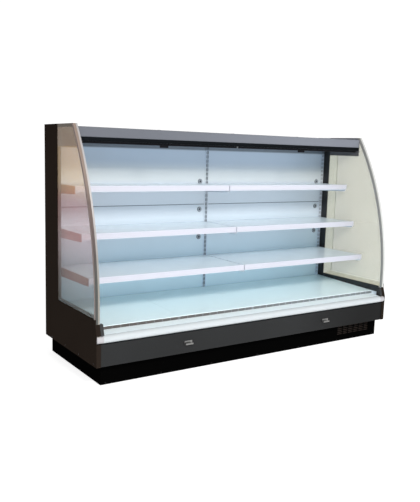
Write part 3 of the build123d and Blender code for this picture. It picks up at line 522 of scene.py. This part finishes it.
finishes = {
    "plinth": paintedSteel("plinthPaint", tone(4, 4, 4), {
        **darkSheet, "rough": 0.75, "speck": 0.0, "wear": 0.05, "specular": 0.0}),
    "foot": brushedMetal("zincFoot", tone(150, 150, 146), zincLook),
    "outer_sheet": paintedSteel("outerSheet", tone(84, 85, 88), {
        **darkSheet, "dust": 0.16, "wear": 0.3, "peelScale": 900, "specular": 0.3}),
    "foam": rigidFoam("rigidFoam"),
    "liner": paintedSteel("linerWhite", tone(218, 230, 240), whiteSheet),
    "end_panel": paintedSteel("endPanelBlack", tone(37, 31, 27), {
        **darkSheet, "rough": 0.5, "specular": 0.0, "wear": 0.12}),
    "spacer": spacerBar("spacerBar", {
        "right": tone(120, 120, 112), "left": tone(52, 46, 43), "paintedGlow": tone(190, 192, 183),
        "holes": 260, "holeShade": 0.08}),
    "trim": edgeTrim("glassTrim", trimLook),
    "black_frame": plastic("blackFrame", tone(20, 21, 23), {
        "grainScale": 700, "grain": 0.35, "drift": 0.12, "rough": 0.42}),
    # painted light: darker towards the right end
    "front_panel": paintedSteel("frontPanelGrey", tone(36, 37, 38), {
        **darkSheet, "specular": 0.1, "across": (0.2, 1.1, 1.0, 0.3)}),
    "nose": plastic("bumperWhite", tone(186, 193, 197), {
        "grain": 0.03, "drift": 0.01, "rough": 0.32, "grime": 0.015, "coat": 0.1}),
    "nose_cap": plastic("bumperCapGrey", tone(172, 171, 175), {
        "grainScale": 700, "grain": 0.3, "drift": 0.03, "rough": 0.42, "grime": 0.08}),
    "ledge": paintedSteel("ledgeWhite", tone(236, 248, 252), {
        **whiteSheet, "rough": 0.4, "riser": ledgeRiserShade}),
    "catch": brushedMetal("catchSteel", tone(134, 134, 133), {
        "along": (0.6, 8, 8), "scale": 260, "rough": 0.42, "metallic": 1.0, "depth": 0.2}),
    # painted light: lighter towards the right end
    "fascia": paintedSteel("fasciaGrey", tone(104, 108, 117), {
        **whiteSheet, "drift": 0.02, "rough": 0.42, "speck": 0.12, "specular": 0.35,
        "across": (-1.0, 1.1, 0.76, 1.14)}),
    "end_plate": endPaint("endPlateGrey", {
        "main": tone(74, 74, 78), "leftEnd": tone(62, 56, 54), "from": -0.1, "to": -0.2}),
    "honeycomb": plastic("honeycombGrey", tone(196, 202, 206), {
        "grainScale": 400, "grain": 0.15, "drift": 0.03, "rough": 0.5}),
    "light": lampCover("lampCover"),
    "cassette": paintedSteel("cassetteBlack", tone(13, 16, 19), {
        **darkSheet, "wear": 0.05, "specular": 0.03}),
    "roller": brushedMetal("rollerTube", tone(180, 180, 178), {
        "along": (0.5, 9, 9), "scale": 200, "rough": 0.4, "metallic": 0.9, "depth": 0.2}),
    "cloth": blindCloth("blindCloth", {
        "colour": tone(184, 188, 193), "threads": 190, "pins": 85, "pinSize": 0.14,
        "pinColour": tone(58, 60, 64)}),
    "pull_bar": paintedSteel("pullBarBlack", tone(15, 16, 19), {
        **darkSheet, "peelScale": 700, "specular": 0.05}),
    "back_panel": shadedWhite("backPanelWhite", tone(206, 216, 226), tone(214, 239, 252), {
        **whiteSheet, **wallShade, "jointDepth": 0.3437, "recessShadeColour": tone(70, 84, 98)}),
    "upright": shadedWhite("uprightWhite", tone(204, 213, 223), tone(206, 227, 246), {
        **whiteSheet, **wallShade, "jointDepth": 0.3415, "recessShadeColour": tone(90, 100, 112),
        "channel": 0.0098, "channelShade": 0.5}),
    "socket": lampSocket("socketGrey", {
        "ring": tone(142, 150, 158), "bore": tone(44, 50, 56), "boreDepth": 0.3395}),
    "bracket": endPaint("bracketPaint", {
        "main": tone(204, 214, 224), "leftEnd": tone(168, 80, 70), "from": -1.05, "to": -1.15}),
    "shelf": paintedSteel("shelfWhite", tone(222, 234, 242), {
        **whiteSheet, "rough": 0.24, "wear": 0.05, "wearColour": tone(190, 192, 194)}),
    "price_rail": plastic("railWhite", tone(196, 200, 212), {
        "grain": 0.05, "drift": 0.01, "rough": 0.34, "grime": 0.02}),
    "deck": paintedSteel("deckWhite", tone(230, 249, 253), {**whiteSheet, "rough": 0.3, "coat": 0.1}),
    "coil": bareFins("finFoil"),
    "fan_plate": paintedSteel("fanPlateGalvanised", tone(188, 192, 194), {
        **whiteSheet, "drift": 0.08, "peelScale": 90, "rough": 0.4}),
    "motor": plastic("motorBlack", tone(40, 40, 42), {"grain": 0.3, "drift": 0.1, "rough": 0.5}),
    "rotor": plastic("rotorBlack", tone(48, 48, 50), {"grain": 0.2, "drift": 0.1, "rough": 0.4}),
    "drain": plastic("drainGrey", tone(150, 153, 156), {"grain": 0.2, "drift": 0.05, "rough": 0.45}),
    "air_grille": perforatedSheet("grilleGrey", {
        "left": tone(84, 78, 76), "right": tone(118, 124, 128), "holes": 210,
        "holeColour": tone(40, 37, 36)}),
    "wire": brushedMetal("guardWire", tone(196, 198, 200), {**zincLook, "scale": 140}),
    "screw": brushedMetal("screwHead", tone(150, 151, 152), {**zincLook, "scale": 90, "rough": 0.38}),
    "louvre": paintedSteel("louvreBrown", tone(52, 42, 36), {**darkSheet, "rough": 0.4}),
    "dark_screw": paintedSteel("darkScrew", tone(24, 23, 23), {**darkSheet, "wear": 0.5}),
    "label": labelCard("labelCard"),
    "glass": sideGlass("sideGlassTint", glassLook),
}


def dressNodes():
    slots = {row["node"]: row["material_slot"] for row in frame["record"]["subparts"]}
    for name, piece in nodes.items():
        for place in piece.material_slots:
            place.material = finishes[slots[name]]


dressNodes()
print("finishes on", len(nodes), "nodes")


# shared modelling steps

def clearSelection():
    bpy.ops.object.select_all(action="DESELECT")


def pickOnly(*pieces):
    clearSelection()
    for piece in pieces:
        piece.select_set(True)
    bpy.context.view_layer.objects.active = pieces[0]


def settle(piece):    # leaves the object at the origin with its place in its mesh
    pickOnly(piece)
    bpy.ops.object.transform_apply(location=True, rotation=True, scale=True)
    return piece


def startBox(name, low, high):
    clearSelection()
    middle = [(a + b) / 2 for a, b in zip(low, high)]
    bpy.ops.mesh.primitive_cube_add(size=1, location=middle)
    piece = bpy.context.object
    piece.name = name
    piece.scale = [b - a for a, b in zip(low, high)]
    return settle(piece)


def startGrid(name, columns, rows):    # one metre each way, flat, with a map
    clearSelection()
    bpy.ops.mesh.primitive_grid_add(x_subdivisions=columns, y_subdivisions=rows, size=1, calc_uvs=True)
    piece = bpy.context.object
    piece.name = name
    return piece


def startRod(radius, length, place, turn=(0, 0, 0), sides=12):
    clearSelection()
    bpy.ops.mesh.primitive_cylinder_add(vertices=sides, radius=radius, depth=length, location=place,
                                        rotation=turn)
    return settle(bpy.context.object)


def applyModifier(piece, kind, **settings):
    pickOnly(piece)
    modifier = piece.modifiers.new(kind.lower(), kind)
    for key, value in settings.items():
        setattr(modifier, key, value)
    bpy.ops.object.modifier_apply(modifier=modifier.name)
    return piece


def softBox(name, low, high, radius):    # a block with rounded edges
    return applyModifier(startBox(name, low, high), "BEVEL", width=radius, segments=2, limit_method="ANGLE")


def repeat(piece, count, step):
    applyModifier(piece, "ARRAY", count=count, use_relative_offset=False, use_constant_offset=True,
                  constant_offset_displace=step)


def copyTo(piece, name, shift):
    copy = piece.copy()
    copy.data = piece.data.copy()
    copy.name = name
    bpy.context.scene.collection.objects.link(copy)
    copy.data.transform(Matrix.Translation(shift))
    return copy


def turnInto(piece, angle, place, axis="Y"):    # turned about an axis, then moved
    piece.data.transform(Matrix.Translation(place) @ Matrix.Rotation(angle, 4, axis))
    return piece


def joinAll(name, parts):
    pickOnly(*parts)
    bpy.ops.object.join()
    parts[0].name = name
    return parts[0]


def hand(piece, body, slotName, finish=None):    # gives a piece its body, slot and finish
    piece.data.materials.clear()
    piece.data.materials.append(finishes[finish or slotName])
    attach(piece, body)


def leaveEdit():
    bpy.ops.object.mode_set(mode="OBJECT")


def faceEdit(piece, pick):    # into edit mode with the faces that pick chooses
    pickOnly(piece)
    bpy.ops.object.mode_set(mode="EDIT")
    bpy.ops.mesh.select_mode(type="FACE")
    bpy.ops.mesh.select_all(action="DESELECT")
    leaveEdit()
    for face in piece.data.polygons:
        face.select = pick(face)
    bpy.ops.object.mode_set(mode="EDIT")


def extrude(shift):
    bpy.ops.mesh.extrude_region_move(TRANSFORM_OT_translate={"value": shift})


def spread(low, high, count):    # evenly set values, both ends among them
    return [low + (high - low) * step / (count - 1) for step in range(count)]


# night blinds: the cloth wound on each roller, and the strip from there through the slot to the bar

blindLook = {"low": 0.022, "high": 1.222, "middle": 0.6, "axisDepth": -0.032, "axisHeight": 1.556,
             "core": 0.01205, "layer": 0.000243, "turns": 16, "steps": 28, "spans": 8, "thick": 0.00016,
             "slotHeight": 1.5018, "barTop": 1.4985, "pull": 1.325, "rows": 44, "columns": 16,
             "stripThick": 0.0003, "aboveSlot": 2, "belowSlot": 0.0002, "aboveBar": 0.0004}


def windCloth(look, side, sign):
    cloth = startGrid(side + "WoundCloth", look["spans"], look["turns"] * look["steps"])
    low, high = sorted((sign * look["low"], sign * look["high"]))
    length = 2 * math.pi * look["turns"] * (look["core"] + look["layer"] * look["turns"] / 2)
    for point in cloth.data.vertices:
        share = point.co.y + 0.5
        turn = share * look["turns"] * 2 * math.pi
        reach = look["core"] + share * look["turns"] * look["layer"]
        point.co = (low + (point.co.x + 0.5) * (high - low), look["axisDepth"] - reach * math.cos(turn),
                    look["axisHeight"] - reach * math.sin(turn))
    for corner in cloth.data.uv_layers.active.data:
        corner.uv = (corner.uv[0] * (high - low), corner.uv[1] * length)
    applyModifier(cloth, "SOLIDIFY", thickness=look["thick"], offset=0)
    bpy.ops.object.shade_smooth_by_angle(angle=0.6)
    hand(cloth, side + "_blind_roller", "cloth")
    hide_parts(side + "_blind_cloth")


def hangStrip(look, side, sign):
    strip = startGrid(side + "BlindStrip", look["columns"], look["rows"])
    low, high = sorted((sign * look["low"], sign * look["high"]))
    front = look["axisDepth"] - look["core"] - look["turns"] * look["layer"]
    slot, bar, axis = look["slotHeight"], look["barTop"], look["axisHeight"]
    step = look["aboveSlot"] / look["rows"]    # this share of the rows stands above the slot
    for point in strip.data.vertices:
        share = 0.5 - point.co.y
        if share <= step:
            height = axis + (slot - axis) * share / step
        else:
            height = slot + (bar - slot) * (share - step) / (1 - step)
        point.co = (low + (point.co.x + 0.5) * (high - low), front, height)
    for corner in strip.data.uv_layers.active.data:    # the map is true when the blind is down
        share = max(0.0, (1 - corner.uv[1] - step) / (1 - step))
        corner.uv = (corner.uv[0] * (high - low), share * share * (3 - 2 * share) * look["pull"])
    applyModifier(strip, "SOLIDIFY", thickness=look["stripThick"], offset=0)
    strip.data.materials.append(finishes["cloth"])
    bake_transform(strip)


for side, sign in (("right", 1), ("left", -1)):
    windCloth(blindLook, side, sign)
    hangStrip(blindLook, side, sign)
print("night blinds wound and hung")


# discharge grid: six rows of thin hexagonal cells in a rim

gridLook = {"left": -1.247, "right": 1.247, "near": 0.005, "far": 0.081, "low": 1.4942, "high": 1.5178,
            "cell": 0.0075, "wall": 0.0005, "rim": 0.0012, "columns": 191, "rows": 6, "merge": 0.0001}


def addDischargeGrid(look):
    radius = look["cell"]
    pitch = math.sqrt(3) * radius
    rowPitch = 1.5 * radius
    left = -(look["columns"] * pitch + pitch / 2) / 2 + pitch / 2
    near = (look["near"] + look["far"]) / 2 - rowPitch * (look["rows"] - 1) / 2
    clearSelection()
    bpy.ops.mesh.primitive_cylinder_add(vertices=6, radius=radius, depth=look["high"] - look["low"],
                                        end_fill_type="NOTHING",
                                        location=(left, near, (look["low"] + look["high"]) / 2))
    cells = settle(bpy.context.object)
    repeat(cells, look["columns"], (pitch, 0, 0))
    second = copyTo(cells, "secondRow", (pitch / 2, rowPitch, 0))
    cells = joinAll("dischargeCells", [cells, second])
    repeat(cells, look["rows"] // 2, (0, 2 * rowPitch, 0))
    faceEdit(cells, lambda face: True)
    bpy.ops.mesh.remove_doubles(threshold=look["merge"])
    leaveEdit()
    applyModifier(cells, "SOLIDIFY", thickness=look["wall"], offset=0, solidify_mode="NON_MANIFOLD")
    rim = startBox("gridRim", (look["left"], look["near"], look["low"]),
                   (look["right"], look["far"], look["high"]))
    faceEdit(rim, lambda face: abs(face.normal.z) > 0.5)
    bpy.ops.mesh.delete(type="FACE")
    leaveEdit()
    applyModifier(rim, "SOLIDIFY", thickness=look["rim"], offset=-1)
    grid = joinAll("dischargeGrid", [rim, cells])
    hand(grid, "cabinet", "honeycomb")
    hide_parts("discharge_honeycomb")


addDischargeGrid(gridLook)
print("discharge grid made")


# cooler: waved fins on eight tube runs, end plates with flanges, return bends

coolerLook = {"half": 1.13, "near": -0.064, "far": 0.206, "low": 0.196, "high": 0.314, "floor": 0.1742,
              "fins": 282, "finInset": 0.005, "fin": 0.00035, "waves": 10, "wave": 0.0009,
              "tube": 0.006, "tubeProud": 0.003, "runs": 4, "levels": (0.25, 0.75), "bendSteps": 10,
              "plate": 0.0015, "plateLap": 0.004, "flange": 8}


def waveFin(look):    # stands across the tubes
    middle = ((look["near"] + look["far"]) / 2, (look["low"] + look["high"]) / 2)
    fin = startGrid("fin", look["waves"], 1)
    for point in fin.data.vertices:
        wave = look["wave"] * (1 if round((point.co.x + 0.5) * look["waves"]) % 2 else -1)
        point.co = (-look["half"] + look["finInset"] + wave,
                    middle[0] + point.co.x * (look["far"] - look["near"]),
                    middle[1] + point.co.y * (look["high"] - look["low"]))
    applyModifier(fin, "SOLIDIFY", thickness=look["fin"], offset=0)
    repeat(fin, look["fins"], (2 * (look["half"] - look["finInset"]) / (look["fins"] - 1), 0, 0))
    return fin


def returnBend(look, sign, depth, height, spacing):    # half a ring between two neighbouring runs
    end = sign * look["half"]
    clearSelection()
    bpy.ops.mesh.primitive_circle_add(vertices=12, radius=look["tube"], fill_type="NOTHING",
                                      location=(end, depth, height), rotation=(0, math.pi / 2, 0))
    bend = settle(bpy.context.object)
    bpy.ops.object.mode_set(mode="EDIT")
    bpy.ops.mesh.select_all(action="SELECT")
    bpy.ops.mesh.spin(steps=look["bendSteps"], angle=math.pi * -sign, axis=(0, 0, 1),
                      center=(end, depth + spacing / 2, height))
    bpy.ops.mesh.select_all(action="SELECT")
    bpy.ops.mesh.normals_make_consistent(inside=False)
    leaveEdit()
    return bend


def addEndPlate(look, sign):
    inner, outer = sorted((sign * look["half"], sign * (look["half"] + look["plate"])))
    plate = startBox("endPlate", (inner, look["near"] - look["plateLap"], look["floor"]),
                     (outer, look["far"] + look["plateLap"], look["high"]))
    faceEdit(plate, lambda face: abs(face.normal.y) > 0.5)
    extrude((0, 0, 0))
    bpy.ops.transform.resize(value=(look["flange"], 1, 1))
    leaveEdit()
    return plate


def addCooler(look):
    parts = [waveFin(look)]
    spacing = (look["far"] - look["near"]) / look["runs"]
    depths = [look["near"] + spacing * (0.5 + step) for step in range(look["runs"])]
    for level in look["levels"]:
        height = look["low"] + (look["high"] - look["low"]) * level
        for depth in depths:
            parts.append(startRod(look["tube"], 2 * (look["half"] + look["tubeProud"]), (0, depth, height),
                                  (0, math.pi / 2, 0)))
        for sign in (-1, 1):
            for depth in depths[::2]:
                parts.append(returnBend(look, sign, depth, height, spacing))
    for sign in (-1, 1):
        parts.append(addEndPlate(look, sign))
    cooler = joinAll("cooler", parts)
    hand(cooler, "cabinet", "coil")
    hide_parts("evaporator_coil")


addCooler(coolerLook)
print("cooler made")


# fan guards: rings of wire on four spokes in front of each mouth

guardLook = {"centers": (-0.78, 0.0, 0.78), "depth": -0.199, "height": 0.25225,
             "rings": (0.022, 0.04, 0.058, 0.0765), "hub": 0.018, "spokes": 4, "spokeBehind": 0.002,
             "wire": 0.0011, "plateDepth": -0.174}


def addGuards(look):
    first, depth, height = look["centers"][0], look["depth"], look["height"]
    hub, outer = look["hub"], look["rings"][-1]
    reach = look["plateDepth"] - depth
    parts = []
    for radius in look["rings"]:
        clearSelection()
        bpy.ops.mesh.primitive_torus_add(location=(first, depth, height), rotation=(math.pi / 2, 0, 0),
                                         major_radius=radius, minor_radius=look["wire"],
                                         major_segments=40, minor_segments=6)
        parts.append(settle(bpy.context.object))
    for number in range(look["spokes"]):
        angle = math.radians(45 + 360 * number / look["spokes"])
        spoke = startRod(look["wire"], outer - hub, (0, 0, (outer + hub) / 2), sides=8)
        parts.append(turnInto(spoke, angle, (first, depth + look["spokeBehind"], height)))
        leg = startRod(look["wire"], reach, (0, depth + reach / 2, outer), (math.pi / 2, 0, 0), 8)
        parts.append(turnInto(leg, angle, (first, 0, height)))
    guard = joinAll("fanGuard1", parts)
    bpy.ops.object.shade_smooth_by_angle(angle=0.8)
    hand(guard, "cabinet", "fan_plate", "wire")
    for number, center in enumerate(look["centers"][1:], 2):
        hand(copyTo(guard, f"fanGuard{number}", (center - first, 0, 0)), "cabinet", "fan_plate", "wire")


addGuards(guardLook)
print("fan guards made")


# label strips and end caps in the six price rails

railLook = {"inner": 0.0040, "outer": 1.2257, "height": 0.040, "reach": 0.0072,
            "rows": {"upper": (0.030, 1.1707), "middle": (-0.075, 0.8701), "lower": (-0.188, 0.6029)},
            "cardDepth": 0.0027, "cardThick": 0.0006, "bulge": 0.0006, "endGap": 0.001, "edgeGap": 0.0018,
            "cap": 0.0016, "capLap": 0.0003, "proud": 0.0006, "capRound": 0.0007}


def addRailParts(look, row, side, sign):
    front, low = look["rows"][row]
    body = f"{row}_{side}_shelf"
    name = row + side.capitalize()
    left, right = sorted((sign * look["inner"], sign * look["outer"]))
    proud, height = look["proud"], look["height"]
    card = startGrid(name + "Label", 1, 8)
    for point in card.data.vertices:    # slightly bowed between the channel's lips
        bow = 1 - (2 * point.co.y) ** 2
        point.co = ((left + right) / 2 + point.co.x * (right - left - 2 * look["endGap"]),
                    front + look["cardDepth"] - look["bulge"] * bow,
                    low + height / 2 + point.co.y * (height - 2 * look["edgeGap"]))
    applyModifier(card, "SOLIDIFY", thickness=look["cardThick"], offset=0)
    hand(card, body, "price_rail", "label")
    caps = []
    for edge, inwards in ((left, 1), (right, -1)):
        across = sorted((edge - inwards * look["cap"], edge + inwards * look["capLap"]))
        caps.append(softBox("railCap", (across[0], front - proud, low - proud),
                            (across[1], front + look["reach"], low + height + proud), look["capRound"]))
    hand(joinAll(name + "RailCaps", caps), body, "price_rail")


for row in ("upper", "middle", "lower"):
    addRailParts(railLook, row, "right", 1)
    addRailParts(railLook, row, "left", -1)
print("labels and rail caps made")


# painted-shade strips in the uprights, return grille and kick louvres

uprightShadeLook = {"uprights": (-1.231, 0.0, 1.231), "half": 0.0115, "depth": 0.3424, "thick": 0.0012,
             "low": 0.392, "high": 1.494, "round": 0.0004}
grilleLook = {"half": 1.2485, "depth": -0.3032, "thick": 0.001, "low": 0.3335, "high": 0.3553,
              "foot": (0, 0.006, -0.0025)}
louvreLook = {"left": 0.792, "right": 1.16, "near": -0.371, "thick": 0.0008, "low": 0.052, "height": 0.016,
              "pitch": 0.014, "rows": 5, "lean": 0.55}


def addUprightShadeStrips(look):    # dark strips inside the slotted uprights, put there as painted shade in the channels
    parts = [softBox("uprightShadeStrip", (x - look["half"], look["depth"], look["low"]),
                     (x + look["half"], look["depth"] + look["thick"], look["high"]), look["round"])
             for x in look["uprights"]]
    hand(joinAll("uprightShadeStrips", parts), "cabinet", "black_frame")


def addReturnGrille(look):    # the perforated strip behind the return-air slots, with a turned foot
    strip = startBox("returnGrille", (-look["half"], look["depth"], look["low"]),
                     (look["half"], look["depth"] + look["thick"], look["high"]))
    faceEdit(strip, lambda face: face.normal.z < -0.5)
    extrude(look["foot"])
    leaveEdit()
    hand(strip, "cabinet", "ledge", "air_grille")


def addLouvres(look):    # slanted dark slats that close the view through the kick plate's openings as painted shade; their brown paint stands for faint reflections (painted reflection)
    parts = []
    for row in range(look["rows"]):
        low = look["low"] + row * look["pitch"]
        slat = startBox("slat", (look["left"], look["near"], low),
                        (look["right"], look["near"] + look["thick"], low + look["height"]))
        for point in slat.data.vertices:
            point.co.y += (point.co.z - low) * look["lean"]
        parts.append(slat)
    hand(joinAll("kickLouvres", parts), "cabinet", "plinth", "louvre")


addUprightShadeStrips(uprightShadeLook)
addReturnGrille(grilleLook)
addLouvres(louvreLook)
print("strips, grille and louvres made")


# outside and canopy trim: cover strips on the seams behind and above, caps on the lights, screws

seamLook = {"seams": (-0.625, 0.0, 0.625), "half": 0.016, "border": 0.006, "proud": 0.0022,
            "rear": 0.436, "rearLow": 0.14, "rearHigh": 1.58, "rearTaper": (0.8, 1, 0.998),
            "roof": 1.588, "roofNear": 0.0, "roofFar": 0.42, "roofTaper": (0.8, 0.99, 1)}
capLook = {"ends": (0.025, 1.225), "near": -0.032, "far": -0.006, "low": 1.487, "high": 1.499, "cap": 0.007,
           "lap": 0.0006, "topGap": 0.0001, "proud": 0.0008, "round": 0.0016}
screwLook = {"radius": 0.0046, "thick": 0.0017, "recess": 0.0006, "brim": 0.22, "crown": 0.3, "socket": 0.3,
             "columns": (-1.22, 1.22, 9), "rear": 0.436, "rearRows": (0.155, 1.568),
             "seam": 0.4371, "seamSide": 0.011, "seamRows": (0.3, 1.42, 5), "roof": 1.588,
             "roofRows": (0.02, 0.415), "end": 1.28, "post": 0.42, "postRows": (0.17, 1.57, 6),
             "low": 0.15, "lowRows": (-0.38, 0.3, 4), "innerColumns": (-1.2, 1.2, 7),
             "kick": -0.377, "kickRows": (0.014, 0.122), "ceiling": 1.498, "ceilingRows": (0.1, 0.325)}


def raiseStrip(name, low, high, axis, taper, look):    # a folded strip, raised in the middle
    strip = startBox(name, low, high)
    lift = [0, 0, 0]
    lift[axis] = look["proud"]
    faceEdit(strip, lambda face: face.normal[axis] > 0.5)
    bpy.ops.mesh.inset(thickness=look["border"])
    extrude(lift)
    bpy.ops.transform.resize(value=taper)
    leaveEdit()
    return strip


def addSeamStrips(look):
    half, fold = look["half"], look["proud"] * 0.5
    parts = []
    for x in look["seams"]:
        rear = ((x - half, look["rear"], look["rearLow"]), (x + half, look["rear"] + fold, look["rearHigh"]))
        roof = ((x - half, look["roofNear"], look["roof"]), (x + half, look["roofFar"], look["roof"] + fold))
        parts.append(raiseStrip("rearSeam", *rear, 1, look["rearTaper"], look))
        parts.append(raiseStrip("roofSeam", *roof, 2, look["roofTaper"], look))
    hand(joinAll("seamStrips", parts), "cabinet", "outer_sheet")


def addLightCaps(look):
    caps = []
    proud = look["proud"]
    for sign in (-1, 1):
        for end, inwards in ((look["ends"][0], 1), (look["ends"][1], -1)):
            low, high = sorted((sign * (end - inwards * look["lap"]), sign * (end + inwards * look["cap"])))
            caps.append(softBox("lightCap", (low, look["near"] - proud, look["low"] - proud),
                                (high, look["far"] + proud, look["high"] - look["topGap"]), look["round"]))
    hand(joinAll("lightCaps", caps), "cabinet", "nose_cap")


def makeScrew(look):    # a pan head with a round recess, its base at the origin, facing +z
    radius, thick = look["radius"], look["thick"]
    screw = startRod(radius, thick, (0, 0, thick / 2))
    screw.name = "screwHead"
    faceEdit(screw, lambda face: face.normal.z > 0.5)
    bpy.ops.mesh.inset(thickness=radius * look["brim"])
    bpy.ops.transform.translate(value=(0, 0, thick * look["crown"]))
    bpy.ops.mesh.inset(thickness=radius * look["socket"])
    extrude((0, 0, -look["recess"]))
    leaveEdit()
    return screw


def placeScrews(screw, name, facing, places, finish="screw"):
    turns = {"front": (math.pi / 2, "X"), "rear": (-math.pi / 2, "X"), "right": (math.pi / 2, "Y"),
             "left": (-math.pi / 2, "Y"), "up": (0, "X"), "down": (math.pi, "X")}
    angle, axis = turns[facing]
    copies = [turnInto(copyTo(screw, "head", (0, 0, 0)), angle, place, axis) for place in places]
    hand(joinAll(name, copies), "cabinet", "foot", finish)


def addScrews(look, seams):
    screw = makeScrew(look)
    columns = spread(*look["columns"])
    placeScrews(screw, "rearScrews", "rear",
                [(x, look["rear"], z) for x in columns for z in look["rearRows"]]
                + [(x + side * look["seamSide"], look["seam"], z) for x in seams for side in (-1, 1)
                   for z in spread(*look["seamRows"])])
    placeScrews(screw, "roofScrews", "up", [(x, y, look["roof"]) for x in columns for y in look["roofRows"]])
    for side, sign in (("right", 1), ("left", -1)):
        end = sign * look["end"]
        placeScrews(screw, side + "EndScrews", side,
                    [(end, look["post"], z) for z in spread(*look["postRows"])]
                    + [(end, y, look["low"]) for y in spread(*look["lowRows"])], "dark_screw")
    columns = spread(*look["innerColumns"])
    placeScrews(screw, "kickScrews", "front",
                [(x, look["kick"], z) for x in columns for z in look["kickRows"]], "dark_screw")
    placeScrews(screw, "ceilingScrews", "down",
                [(x, y, look["ceiling"]) for x in columns for y in look["ceilingRows"]])
    bpy.data.objects.remove(screw)


addSeamStrips(seamLook)
addLightCaps(capLook)
addScrews(screwLook, seamLook["seams"])
print("seam strips, light caps and screws made")


# floor

def addFloor(look):
    clearSelection()
    bpy.ops.mesh.primitive_plane_add(size=look["floorSpread"])
    floor = bpy.context.object
    floor.name = "studioFloor"
    paper = Finish("studioPaper")
    grain = paper.noise(paper.point(), 300)
    paper.set(Base_Color=paper.tint((look["floor"],) * 3, paper.vary(grain, 0.99, 1.01)),
              Roughness=0.8, Emission_Color=(1.0, 1.0, 1.0), Emission_Strength=look["floorGlow"])
    floor.data.materials.append(paper.material)


addFloor(lightLook)
print("floor laid")
